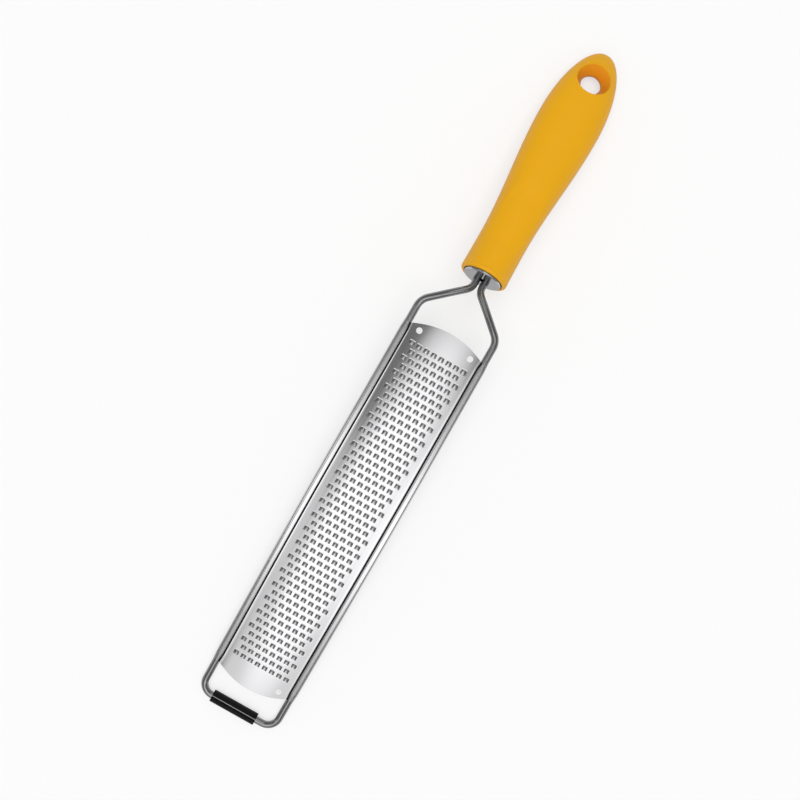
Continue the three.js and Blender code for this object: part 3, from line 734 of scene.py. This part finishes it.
def grip_half(grip, along, waist, belly):
    """Half size of the grip's section along its length.

    A parabola runs from the neck end to the waist, half a cosine wave from the waist to the belly, and an
    ellipse from the belly to the butt."""
    near = waist + (grip.end_radius - waist) * np.clip(1 - along / grip.waist_place, 0, 1) ** 2
    part = np.clip((along - grip.waist_place) / (grip.belly_place - grip.waist_place), 0, 1)
    swell = near + (belly - waist) * (1 - np.cos(np.pi * part)) / 2
    tip = np.clip((along - grip.belly_place) / grip.tip_length, 0, 1)
    return swell * np.sqrt(1 - tip * tip)


def grip_square(grip, along):
    """Exponent of the section: round at the neck end, squarer from the waist on."""
    return ROUND + (grip.squareness - ROUND) * smooth_step(along / (2 * grip.waist_place))


def thumb_rest(grip, across, along):
    """Depth of the thumb rest: full inside an ellipse of higher order, fading smoothly to its border."""
    reach = ((across / grip.thumb_width) ** THUMB_POWER
             + ((along - grip.thumb_place) / grip.thumb_length) ** THUMB_POWER)
    return grip.thumb_depth * smooth_step((1.0 - reach) / THUMB_FADE)


def grip_rings(grip):
    """Skin of the grip from the bottom of its bore, round the neck end and up to the hanging hole.

    Each row is a ring at one distance from the neck end. Inside and on the end the rings are circles. On
    the body the radius at an angle is the superellipse: the sum of the powers of cosine over half width and
    sine over half thickness, to the power of minus one over the exponent."""
    angle = np.arange(GRIP_SIDES) * 2 * np.pi / GRIP_SIDES
    corner = np.linspace(0, np.pi / 2, CORNER_STEPS)
    inside = np.array([
        (0.0, grip.bore_depth),
        (grip.bore_radius, grip.bore_depth),
        (grip.bore_radius, grip.seat_depth),
        (grip.seat_radius, grip.seat_depth),
    ])
    mouth = np.stack([grip.seat_radius + SEAT_LIP * (1 - np.cos(corner)),
                      SEAT_LIP * (1 - np.sin(corner))], axis=-1)
    edge = np.stack([grip.end_radius - grip.end_round * (1 - np.sin(corner)),
                     grip.end_round * (1 - np.cos(corner))], axis=-1)[:-1]
    turned = np.concatenate([inside, mouth, edge])
    along = np.linspace(grip.end_round, grip.hole_place - TIP_LEAD, GRIP_ROWS)[:, None]
    trim = grip.end_radius - grip_half(grip, grip.end_round, grip.waist_width, grip.belly_width)
    width = grip_half(grip, along, grip.waist_width, grip.belly_width)
    width = width + trim * np.clip(1 - (along - grip.end_round) / grip.waist_place, 0, 1) ** 2
    thick = grip_half(grip, along, grip.half_thickness, grip.half_thickness)
    power = grip_square(grip, along)
    radius = (np.abs(np.cos(angle) / width) ** power + np.abs(np.sin(angle) / thick) ** power) ** (-1 / power)
    across = np.concatenate([turned[:, :1] * np.cos(angle), radius * np.cos(angle)])
    up = np.concatenate([turned[:, :1] * np.sin(angle), radius * np.sin(angle)])
    along = np.concatenate([turned[:, 1:], along]) + 0 * across
    up -= np.where(up > grip.bore_radius, thumb_rest(grip, across, along), 0.0) * (along > grip.end_round)
    return np.stack([across, along, up], axis=-1)


def tip_patch(grip, ring, side):
    """Upper or lower skin of the grip around the hanging hole.

    Rays run from the hole's axis to a border: the last ring's half and the outline of the butt. On a ray
    the skin has the superellipse height over its plan place; inside the flare it sinks evenly towards the
    throat. The flare is marked for the painted shade inside the hole."""
    start = math.asin((ring[0, 1] - grip.belly_place) / grip.tip_length)
    sweep = np.linspace(start, math.pi - start, BUTT_POINTS)[1:-1]
    butt = np.stack([grip.belly_width * np.cos(sweep), grip.belly_place + grip.tip_length * np.sin(sweep),
                     0 * sweep], axis=-1)
    half = GRIP_SIDES // 2
    upper = ring[:half + 1]
    lower = np.concatenate([ring[:1], ring[half:][::-1]])
    border = np.concatenate([ring[:1], butt, (upper if side > 0 else lower)[:0:-1]])
    middle = np.array([0.0, grip.hole_place])
    ray = border[:, :2] - middle
    reach = np.linalg.norm(ray, axis=1)
    ray /= reach[:, None]
    rim = grip.hole_radius + grip.flare_reach
    flare = grip.hole_radius + grip.flare_reach * (1 - np.cos(np.linspace(0, np.pi / 2, FLARE_ROWS)))
    share = np.sin(np.linspace(0, np.pi / 2, CROWN_ROWS)[1:])
    away = np.concatenate([flare[:, None] + 0 * reach, rim + (reach - rim) * share[:, None]])
    plan = middle + away[..., None] * ray
    width = grip_half(grip, plan[..., 1], grip.waist_width, grip.belly_width)
    thick = grip_half(grip, plan[..., 1], grip.half_thickness, grip.half_thickness)
    inner = np.clip(np.abs(plan[..., 0]) / np.maximum(width, WELD), 0, 1)
    crown = thick * (1 - inner ** grip.squareness) ** (1 / grip.squareness)
    sink = 1 - np.clip((rim - away) / grip.flare_reach, 0, 1)
    up = side * (grip.throat_half + (crown - grip.throat_half) * sink)
    # Painted shade marks the flare and throat of the hanging hole.
    hole_shade = np.where(away < rim - WELD, 1.0, 0.0)
    skin = np.concatenate([plan, up[..., None], hole_shade[..., None]], axis=-1)
    skin[-1, :, :3] = border
    return skin


def grip_surface(settings, layout):
    """Grip: rings from bore to hanging hole, an upper and a lower tip, and the throat between them."""
    grip = settings.grip
    rings = grip_rings(grip)
    body = np.concatenate([rings, 0 * rings[..., :1]], axis=-1)
    upper = tip_patch(grip, rings[-1], 1)
    lower = tip_patch(grip, rings[-1], -1)
    throat = np.stack([upper[0], lower[0]])
    patches = []
    for skin, turned in ((body, False), (upper, False), (lower, True), (throat, True)):
        quads = grid_quads(*skin.shape[:2], ring=True)
        patches.append((skin.reshape(-1, 4), quads[:, ::-1] if turned else quads))
    points, quads = welded(patches)
    return np.concatenate([in_grip(layout, *points[:, :3].T), points[:, 3:]], axis=-1), quads


# Sides of the cap, and rings on its face.
CAP_SIDES = 96
FACE_ROWS = 10


def cap_surface(settings, layout):
    """Disc with a slot for both wires, as closed rows of rings.

    The slot's radius at an angle is that of two half circles joined by straight sides. The face runs from
    the slot to the rounded edge and swells with the square of the way; the edge is a quarter circle."""
    cap = settings.cap
    slot = settings.wire.diameter / 2 + cap.slot_gap
    reach = settings.wire.tang_reach
    angle = (np.arange(CAP_SIDES) + 0.5) * 2 * np.pi / CAP_SIDES
    cosine = np.abs(np.cos(angle))
    sine = np.abs(np.sin(angle))
    round_end = reach * cosine + np.sqrt(np.maximum(slot ** 2 - (reach * sine) ** 2, 0))
    inner = np.where(slot * cosine / sine > reach, round_end, slot / sine)
    part = np.linspace(0, 1, FACE_ROWS)[:, None]
    corner = np.linspace(0, np.pi / 2, CORNER_STEPS)[1:, None]
    flat = cap.radius - cap.edge
    radius = np.concatenate([
        inner + (flat - inner) * part,
        flat + cap.edge * np.sin(corner) + 0 * inner,
        cap.radius + 0 * inner[None],
        inner[None],
        inner[None],
    ])
    depth = np.concatenate([
        -cap.proud - cap.dome * (1 - part ** 2),
        -cap.proud + cap.edge * (1 - np.cos(corner)),
        [[cap.back], [cap.back], [-cap.proud - cap.dome]],
    ])
    rings = in_grip(layout, radius * np.cos(angle), depth, radius * np.sin(angle))
    return welded([(rings.reshape(-1, 3), grid_quads(*rings.shape[:2], ring=True))])


# Points round the sleeve's outside, and steps in which its cut ends are rounded.
SLEEVE_SIDES = 64
CUT_STEPS = 6


def sleeve_surface(settings, layout):
    """Split sleeve: a section open at the top, carried along the foot bar.

    The section's outside is a circle that is cut off flat below, its inside a circle that fits the wire;
    both stop at the slit. At the cut ends the section shrinks on all sides by a quarter circle."""
    foot = settings.foot
    corner = np.linspace(0, np.pi / 2, CUT_STEPS)
    start, end = layout.sleeve_ends
    lead = foot.edge * (1 - np.cos(corner))
    inset = foot.edge * (1 - np.sin(corner))
    place_x = np.concatenate([start + lead, end - lead[::-1]])
    shrink = np.concatenate([inset, inset[::-1]])
    part = np.linspace(0, 1, SLEEVE_SIDES)
    outside = layout.sleeve_radius - shrink
    inside = settings.wire.diameter / 2 + foot.grip_gap + shrink
    slit = foot.slit / 2 + shrink
    outer_angle = np.pi / 2 + np.arcsin(slit / outside)[:, None] * (1 - 2 * part) + 2 * np.pi * part
    inner_angle = np.pi / 2 + np.arcsin(slit / inside)[:, None] * (1 - 2 * part) + 2 * np.pi * part
    floor = -layout.bar_height + shrink[:, None]
    outer = np.stack([outside[:, None] * np.cos(outer_angle),
                      np.maximum(outside[:, None] * np.sin(outer_angle), floor)], axis=-1)
    inner = inside[:, None, None] * np.stack([np.cos(inner_angle), np.sin(inner_angle)], axis=-1)
    section = np.concatenate([outer, inner[:, ::-1]], axis=1) + (0.0, layout.bar_height)
    places = np.broadcast_to(place_x[:, None, None], section.shape[:2] + (1,))
    rows = np.concatenate([places, section], axis=-1)
    patches = [(rows.reshape(-1, 3), grid_quads(*rows.shape[:2], ring=True))]
    for row, turned in ((0, True), (-1, False)):
        face = np.stack([rows[row, :SLEEVE_SIDES], rows[row, SLEEVE_SIDES:][::-1]])
        quads = grid_quads(2, SLEEVE_SIDES)
        patches.append((face.reshape(-1, 3), quads[:, ::-1] if turned else quads))
    return welded(patches)


def add_node(tree, kind, inputs=None, **settings):
    """Adds a node with its settings; an input is a value, or a socket that is linked."""
    node = tree.nodes.new(kind)
    for key, value in settings.items():
        setattr(node, key, value)
    for key, value in (inputs or {}).items():
        if isinstance(value, bpy.types.NodeSocket):
            tree.links.new(value, node.inputs[key])
        else:
            node.inputs[key].default_value = value
    return node


def maths(tree, operation, *values):
    """Result of a Math node on one or two values."""
    return add_node(tree, "ShaderNodeMath", dict(enumerate(values)), operation=operation).outputs[0]


def dotted(tree, vector, axis):
    """Dot product of a vector with a fixed axis."""
    node = add_node(tree, "ShaderNodeVectorMath", {0: vector, 1: tuple(axis)}, operation="DOT_PRODUCT")
    return node.outputs["Value"]


def mapped(tree, value, low, high):
    """Value from 0 to 1 spread between low and high."""
    node = add_node(tree, "ShaderNodeMapRange", {"Value": value, "To Min": low, "To Max": high})
    return node.outputs["Result"]


def shaded(tree, factor, colour_low, colour_high):
    """Colour between two, by a factor from 0 to 1.

    In a Mix node, sockets 0, 6 and 7 are the factor and the two colours, and output 2 is a colour."""
    node = add_node(tree, "ShaderNodeMix", {0: factor, 6: colour_low, 7: colour_high}, data_type="RGBA")
    return node.outputs[2]


def effect_group(name, inputs, outputs):
    """New shader node group with named float or vector inputs and float outputs."""
    group = bpy.data.node_groups.new(name, "ShaderNodeTree")
    for socket, value in inputs.items():
        kind = "NodeSocketFloat" if isinstance(value, float) else "NodeSocketVector"
        item = group.interface.new_socket(name=socket, in_out="INPUT", socket_type=kind)
        if kind == "NodeSocketFloat":
            item.default_value = value
    for socket in outputs:
        group.interface.new_socket(name=socket, in_out="OUTPUT", socket_type="NodeSocketFloat")
    return group, group.nodes.new("NodeGroupInput").outputs, group.nodes.new("NodeGroupOutput").inputs


def grain_group():
    """Fine grain of a moulded or rolled skin, with slow clouds in it.

    Grain is noise at the given scale, Clouds is noise at a small share of it."""
    group = bpy.data.node_groups.get("skin_grain")
    if group:
        return group
    group, given, out = effect_group("skin_grain", {"Vector": None, "Scale": 900.0, "Cloud Scale": 40.0},
                                     ("Grain", "Clouds"))
    grain = add_node(group, "ShaderNodeTexNoise", {"Vector": given["Vector"], "Scale": given["Scale"],
                                                   "Detail": 3.0, "Roughness": 0.6})
    clouds = add_node(group, "ShaderNodeTexNoise", {"Vector": given["Vector"], "Scale": given["Cloud Scale"],
                                                    "Detail": 2.0, "Roughness": 0.5})
    group.links.new(grain.outputs[0], out["Grain"])
    group.links.new(clouds.outputs[0], out["Clouds"])
    return group


def brush_group():
    """Brush lines of worked steel: noise that is fine across the lines and long along them.

    The vector is multiplied by one scale along the lines and another across before the noise."""
    group = bpy.data.node_groups.get("brush_lines")
    if group:
        return group
    group, given, out = effect_group("brush_lines", {"Vector": None, "Stretch": None}, ("Lines", "Bands"))
    vector = add_node(group, "ShaderNodeVectorMath", {0: given["Vector"], 1: given["Stretch"]},
                      operation="MULTIPLY").outputs[0]
    lines = add_node(group, "ShaderNodeTexNoise", {"Vector": vector, "Scale": 1.0, "Detail": 4.0,
                                                   "Roughness": 0.65})
    bands = add_node(group, "ShaderNodeTexNoise", {"Vector": vector, "Scale": 0.08, "Detail": 1.0})
    group.links.new(lines.outputs[0], out["Lines"])
    group.links.new(bands.outputs[0], out["Bands"])
    return group


def new_material(name):
    """New material, its node tree with a shader and an output, and the shader."""
    material = bpy.data.materials.new(name)
    material.use_nodes = True
    tree = material.node_tree
    tree.nodes.clear()
    shader = add_node(tree, "ShaderNodeBsdfPrincipled")
    output = add_node(tree, "ShaderNodeOutputMaterial")
    tree.links.new(shader.outputs[0], output.inputs["Surface"])
    return material, tree, shader


def placed(tree, group, inputs):
    """Outputs of an effect's group, placed in a material with its inputs."""
    return add_node(tree, "ShaderNodeGroup", inputs, node_tree=group).outputs


def own_attribute(tree, name, output):
    """Output of an attribute that goes with a piece's points."""
    return add_node(tree, "ShaderNodeAttribute", attribute_name=name).outputs[output]


def object_place(tree):
    """Object coordinates of the piece."""
    return add_node(tree, "ShaderNodeTexCoord").outputs["Object"]


def bumped(tree, shader, height, strength, distance):
    """Bump from a height, into the shader's normal."""
    bump = add_node(tree, "ShaderNodeBump", {"Height": height, "Strength": strength, "Distance": distance})
    tree.links.new(bump.outputs[0], shader.inputs["Normal"])


def scaled(colour_value, share):
    """Colour times a share, with full alpha."""
    return [part * share for part in colour_value] + [1.0]


# Share of the steel's tone that painted shade leaves, and the roughness where painted shade lies.
PAINTED_SHADE_TONE = 0.03
PAINTED_SHADE_ROUGHNESS = 0.75
# Depth of the brush lines in steel, and of the grain in moulded skins.
BRUSH_DEPTH = 0.02 * MM
GRAIN_DEPTH = 0.05 * MM


def steel(name, tint, stretch, tones, roughness, bump, graze, vector_from="", shade_from=""):
    """Worked steel: brush lines vary its tone and lie in its surface, and clouds vary its roughness.

    The vector comes from the piece's Object coordinates or from its own attribute. Another attribute may
    darken it with painted shade and roughen it. Graze is the grey that tints it at grazing angles."""
    material, tree, shader = new_material(name)
    vector = own_attribute(tree, vector_from, "Vector") if vector_from else object_place(tree)
    brush = placed(tree, brush_group(), {"Vector": vector, "Stretch": stretch})
    grain = placed(tree, grain_group(), {"Vector": vector})
    shader.inputs["Metallic"].default_value = 1.0
    shader.inputs["Specular Tint"].default_value = (graze, graze, graze, 1.0)
    tone = shaded(tree, brush["Bands"], scaled(tint, tones[0]), scaled(tint, tones[1]))
    rough = mapped(tree, grain["Clouds"], *roughness)
    # Painted shade darkens and roughens the steel by the attribute.
    if shade_from:
        painted_shade = own_attribute(tree, shade_from, "Fac")
        tone = shaded(tree, painted_shade, tone, scaled(tint, PAINTED_SHADE_TONE))
        rough = mapped(tree, painted_shade, rough, PAINTED_SHADE_ROUGHNESS)
    tree.links.new(tone, shader.inputs["Base Color"])
    tree.links.new(rough, shader.inputs["Roughness"])
    bumped(tree, shader, brush["Lines"], bump, BRUSH_DEPTH)
    return material


def moulded(name, tint, tones, scales, roughness, bump, gloss, shade_inside_from="", inside=None):
    """Moulded plastic or rubber: slow clouds in its tone, and a fine grain in its surface.

    The scales are the grain's and the clouds'. An attribute may mark an inside that has a darker tone of
    its own, as painted shade."""
    material, tree, shader = new_material(name)
    grain = placed(tree, grain_group(), {"Vector": object_place(tree), "Scale": scales[0],
                                         "Cloud Scale": scales[1]})
    shader.inputs["Specular IOR Level"].default_value = gloss
    tone = shaded(tree, grain["Clouds"], scaled(tint, tones[0]), scaled(tint, tones[1]))
    if shade_inside_from:
        tone = shaded(tree, own_attribute(tree, shade_inside_from, "Fac"), tone, scaled(inside, 1.0))
    tree.links.new(tone, shader.inputs["Base Color"])
    tree.links.new(mapped(tree, grain["Grain"], *roughness), shader.inputs["Roughness"])
    bumped(tree, shader, grain["Grain"], bump, GRAIN_DEPTH)
    return material


class GRATER_OT_wire_frame(bpy.types.Operator):
    """Bend the wire frame: foot bar, rails, shoulders, legs and tangs"""
    bl_idname = "grater.wire_frame"
    bl_label = "Wire frame"

    def execute(self, context):
        settings = context.scene.grater
        points, quads = wire_surface(settings, tool_layout(settings))
        material = steel("drawn_wire", settings.finish.wire, stretch=(40.0, 1500.0, 1500.0),
                         tones=(0.9, 1.08), roughness=(0.14, 0.2), bump=0.12, graze=0.4,
                         vector_from="drawn")
        put_piece("bent_wire", "wire_frame", material, points, quads, "drawn")
        return {"FINISHED"}


class GRATER_OT_blade(bpy.types.Operator):
    """Form the arched blade with its teeth, corner holes and rolled edges"""
    bl_idname = "grater.blade"
    bl_label = "Blade"

    def execute(self, context):
        settings = context.scene.grater
        points, quads = blade_surface(settings, tool_layout(settings))
        # The sheet's painted shade darkens its creases, the rolled edges' ends and the teeth's sides.
        material = steel("satin_sheet", settings.finish.blade, stretch=(1100.0, 30.0, 30.0),
                         tones=(0.93, 1.05), roughness=(0.08, 0.13), bump=0.1, graze=0.6,
                         shade_from="painted_shade")
        put_piece("toothed_sheet", "grating_blade", material, points, quads, "painted_shade")
        return {"FINISHED"}


class GRATER_OT_grip(bpy.types.Operator):
    """Mould the grip with its thumb rest and hanging hole"""
    bl_idname = "grater.grip"
    bl_label = "Grip"

    def execute(self, context):
        settings = context.scene.grater
        points, quads = grip_surface(settings, tool_layout(settings))
        # The hanging hole gets painted shade from the darker plastic tone.
        material = moulded("yellow_plastic", settings.finish.grip, tones=(0.97, 1.03),
                           scales=(2600.0, 60.0), roughness=(0.40, 0.50), bump=0.06, gloss=0.3,
                           shade_inside_from="hole_shade", inside=settings.finish.hole_shade)
        put_piece("moulded_grip", "handle_grip", material, points, quads, "hole_shade")
        return {"FINISHED"}


class GRATER_OT_cap(bpy.types.Operator):
    """Turn the polished cap that closes the grip"""
    bl_idname = "grater.cap"
    bl_label = "Cap"

    def execute(self, context):
        settings = context.scene.grater
        points, quads = cap_surface(settings, tool_layout(settings))
        material = steel("polished_disc", settings.finish.cap, stretch=(900.0, 900.0, 60.0),
                         tones=(0.96, 1.04), roughness=(0.05, 0.09), bump=0.03, graze=0.6)
        put_piece("polished_cap", "ferrule_cap", material, points, quads)
        return {"FINISHED"}


class GRATER_OT_foot(bpy.types.Operator):
    """Cut the split rubber sleeve on the foot bar"""
    bl_idname = "grater.foot"
    bl_label = "Foot"

    def execute(self, context):
        settings = context.scene.grater
        points, quads = sleeve_surface(settings, tool_layout(settings))
        material = moulded("black_rubber", settings.finish.foot, tones=(0.8, 1.3),
                           scales=(1800.0, 300.0), roughness=(0.55, 0.75), bump=0.25, gloss=0.25)
        put_piece("split_sleeve", "foot_sleeve", material, points, quads)
        return {"FINISHED"}


class GRATER_OT_core(bpy.types.Operator):
    """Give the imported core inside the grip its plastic"""
    bl_idname = "grater.core"
    bl_label = "Core"

    def execute(self, context):
        tint = context.scene.grater.finish.core
        material = moulded("natural_plastic", tint, tones=(0.95, 1.04), scales=(1500.0, 80.0),
                           roughness=(0.45, 0.6), bump=0.1, gloss=0.4)
        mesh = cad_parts["handle_core"].data
        mesh.materials.clear()
        mesh.materials.append(material)
        return {"FINISHED"}


# Heights of a heading between which the room goes from its horizon to its sky.
ROOM_RISE = (0.35, 0.75)
# Exponent of a light's oval outline.
PATCH_POWER = 2.2
# Lights in the room: lean towards the foot, lean to +X and two half angles, in degrees, then the softness
# of the outline and the radiance.
ROOM_LIGHTS = {
    "soft_box": (28.3, 4.0, 14.0, 19.5, 0.25, 0.95),
    "box_middle": (24.0, 4.0, 8.0, 15.0, 0.7, 1.6),
    "box_skirt": (46.0, 2.5, 14.0, 14.0, 0.3, 1.2),
    "right_box": (24.5, 36.0, 6.0, 14.0, 0.5, 1.7),
    "left_box": (23.5, -42.0, 6.0, 12.0, 0.5, 1.4),
    "zenith_box": (3.5, 0.0, 8.0, 36.0, 0.3, 1.0),
    "back_box": (-24.0, 0.0, 8.0, 10.0, 0.4, 1.2),
    "far_box": (-43.0, 0.0, 10.0, 14.0, 0.4, 0.8),
}
# The floor lies a little lower than the foot. The camera's sensor, in its own millimetres, and the nearest
# that it sees.
FLOOR_DROP = 0.1 * MM
SENSOR_WIDTH = 36.0
NEAREST = 10 * MM


def light_patch(tree, heading, patch, share):
    """Soft-edged oval of light in the room, from the numbers of a room light.

    The heading's parts along two axes square to the patch's direction, each over the sine of its half
    angle, are raised to a power and added; the light fades where the sum passes one. Headings away from
    the patch get none."""
    lean, aside, half_height, half_width = (math.radians(angle) for angle in patch[:4])
    softness, radiance = patch[4:]
    middle = Vector((math.sin(aside), -math.sin(lean), math.cos(lean))).normalized()
    level = Vector((1.0, 0.0, 0.0)).cross(middle).normalized()
    side = middle.cross(level)
    powers = []
    for axis, half in ((level, half_height), (side, half_width)):
        part = maths(tree, "ABSOLUTE", dotted(tree, heading, axis / math.sin(half)))
        powers.append(maths(tree, "POWER", part, PATCH_POWER))
    fade = {"Value": maths(tree, "ADD", *powers), "From Min": 1 + softness, "From Max": 1 - softness,
            "To Max": radiance * share}
    glow = add_node(tree, "ShaderNodeMapRange", fade, interpolation_type="SMOOTHSTEP").outputs[0]
    front = maths(tree, "GREATER_THAN", dotted(tree, heading, middle), 0.0)
    return maths(tree, "MULTIPLY", glow, front)


def lit_world(look):
    """Room seen from the tool: pale at eye level, dimmer overhead, with soft boxes.

    The heading's height blends horizon and sky, and the brightest of this and the room lights shows."""
    world = bpy.data.worlds.new("studio_room")
    world.use_nodes = True
    tree = world.node_tree
    tree.nodes.clear()
    heading = add_node(tree, "ShaderNodeTexCoord").outputs["Generated"]
    height = add_node(tree, "ShaderNodeSeparateXYZ", {0: heading}).outputs["Z"]
    rise = {"Value": height, "From Min": ROOM_RISE[0], "From Max": ROOM_RISE[1],
            "To Min": look.horizon, "To Max": look.sky}
    light = add_node(tree, "ShaderNodeMapRange", rise, interpolation_type="SMOOTHSTEP").outputs[0]
    for patch in ROOM_LIGHTS.values():
        light = maths(tree, "MAXIMUM", light, light_patch(tree, heading, patch, look.room))
    shader = add_node(tree, "ShaderNodeBackground", {"Strength": light, "Color": (1, 1, 1, 1)})
    output = add_node(tree, "ShaderNodeOutputWorld")
    tree.links.new(shader.outputs[0], output.inputs[0])
    return world


def whitened(tree, shader, share):
    """Mixes white of strength one into a surface by a share, for what the camera, metal and glass see."""
    path = add_node(tree, "ShaderNodeLightPath")
    seen = path.outputs["Is Camera Ray"]
    for ray in ("Is Glossy Ray", "Is Transmission Ray"):
        seen = maths(tree, "MAXIMUM", seen, path.outputs[ray])
    part = maths(tree, "MULTIPLY", seen, share)
    white = add_node(tree, "ShaderNodeEmission", {"Color": (1, 1, 1, 1), "Strength": 1.0})
    mix = add_node(tree, "ShaderNodeMixShader", {0: part, 1: shader.outputs[0], 2: white.outputs[0]})
    output = next(node for node in tree.nodes if node.bl_idname == "ShaderNodeOutputMaterial")
    tree.links.new(mix.outputs[0], output.inputs["Surface"])


def overhead_lamp(name, strength, spread):
    """Soft light from straight above, which metal doesn't mirror."""
    lamp = bpy.data.lights.new(name, "SUN")
    lamp.energy = strength
    lamp.angle = spread
    stand = bpy.data.objects.new(name, lamp)
    stand.visible_glossy = False
    bpy.context.scene.collection.objects.link(stand)


def look_from(eye, aim, heading):
    """Camera matrix: it looks from eye to aim, with the picture's up direction at a heading from +Y."""
    ahead = (aim - eye).normalized()
    right = ahead.cross(Vector((-math.sin(heading), math.cos(heading), 0.0))).normalized()
    up = right.cross(ahead)
    return Matrix.Translation(eye) @ Matrix((right, up, -ahead)).transposed().to_4x4()


class GRATER_OT_stage(bpy.types.Operator):
    """Set the floor, the light and the camera"""
    bl_idname = "grater.stage"
    bl_label = "Stage"

    def execute(self, context):
        scene = context.scene
        look = scene.grater.stage
        size = look.floor_size
        mesh = bpy.data.meshes.new("studio_floor")
        corners = [(x * size, y * size, -FLOOR_DROP) for x, y in ((-1, -1), (1, -1), (1, 1), (-1, 1))]
        mesh.from_pydata(corners, [], [(0, 1, 2, 3)])
        material, tree, shader = new_material("pale_floor")
        shader.inputs["Base Color"].default_value = scaled(look.floor, 1.0)
        shader.inputs["Roughness"].default_value = 1.0
        shader.inputs["Specular IOR Level"].default_value = 0.0
        whitened(tree, shader, look.floor_white)
        mesh.materials.append(material)
        floor = bpy.data.objects.new("studio_floor", mesh)
        scene.collection.objects.link(floor)
        scene.world = lit_world(look)
        overhead_lamp("overhead_key", look.key, look.key_spread)
        overhead_lamp("overhead_fill", look.fill, look.fill_spread)
        camera = bpy.data.cameras.new("studio_camera")
        camera.sensor_width = SENSOR_WIDTH
        camera.lens = look.lens
        camera.clip_start = NEAREST
        stand = bpy.data.objects.new("studio_camera", camera)
        eye, aim = Vector(look.camera_place), Vector(look.camera_aim)
        stand.matrix_world = look_from(eye, aim, look.camera_heading)
        scene.collection.objects.link(stand)
        scene.camera = stand
        scene.view_settings.view_transform = "Standard"
        return {"FINISHED"}


OPERATORS = (
    GRATER_OT_wire_frame,
    GRATER_OT_blade,
    GRATER_OT_grip,
    GRATER_OT_cap,
    GRATER_OT_foot,
    GRATER_OT_core,
    GRATER_OT_stage,
)


class GRATER_PT_panel(bpy.types.Panel):
    """Pieces of the grater and its stage"""
    bl_idname = "GRATER_PT_panel"
    bl_label = "Hand grater"
    bl_space_type = "VIEW_3D"
    bl_region_type = "UI"
    bl_category = "Grater"

    def draw(self, context):
        for operator in OPERATORS:
            self.layout.operator(operator.bl_idname)


GROUPS = (WireSizes, BladeSizes, GripSizes, CapSizes, FootSizes, Finishes, StageLook, GraterSettings)
CLASSES = GROUPS + OPERATORS + (GRATER_PT_panel,)


def register():
    """Registers the classes and hangs the settings on the scene."""
    for kind in CLASSES:
        bpy.utils.register_class(kind)
    bpy.types.Scene.grater = bpy.props.PointerProperty(type=GraterSettings)


def unregister():
    """Takes the settings and the classes away again."""
    del bpy.types.Scene.grater
    for kind in reversed(CLASSES):
        bpy.utils.unregister_class(kind)


def main():
    """Builds every piece and the stage."""
    register()
    bpy.ops.grater.stage()
    bpy.ops.grater.wire_frame()
    bpy.ops.grater.blade()
    bpy.ops.grater.grip()
    bpy.ops.grater.cap()
    bpy.ops.grater.foot()
    bpy.ops.grater.core()


if __name__ == "__main__":
    main()
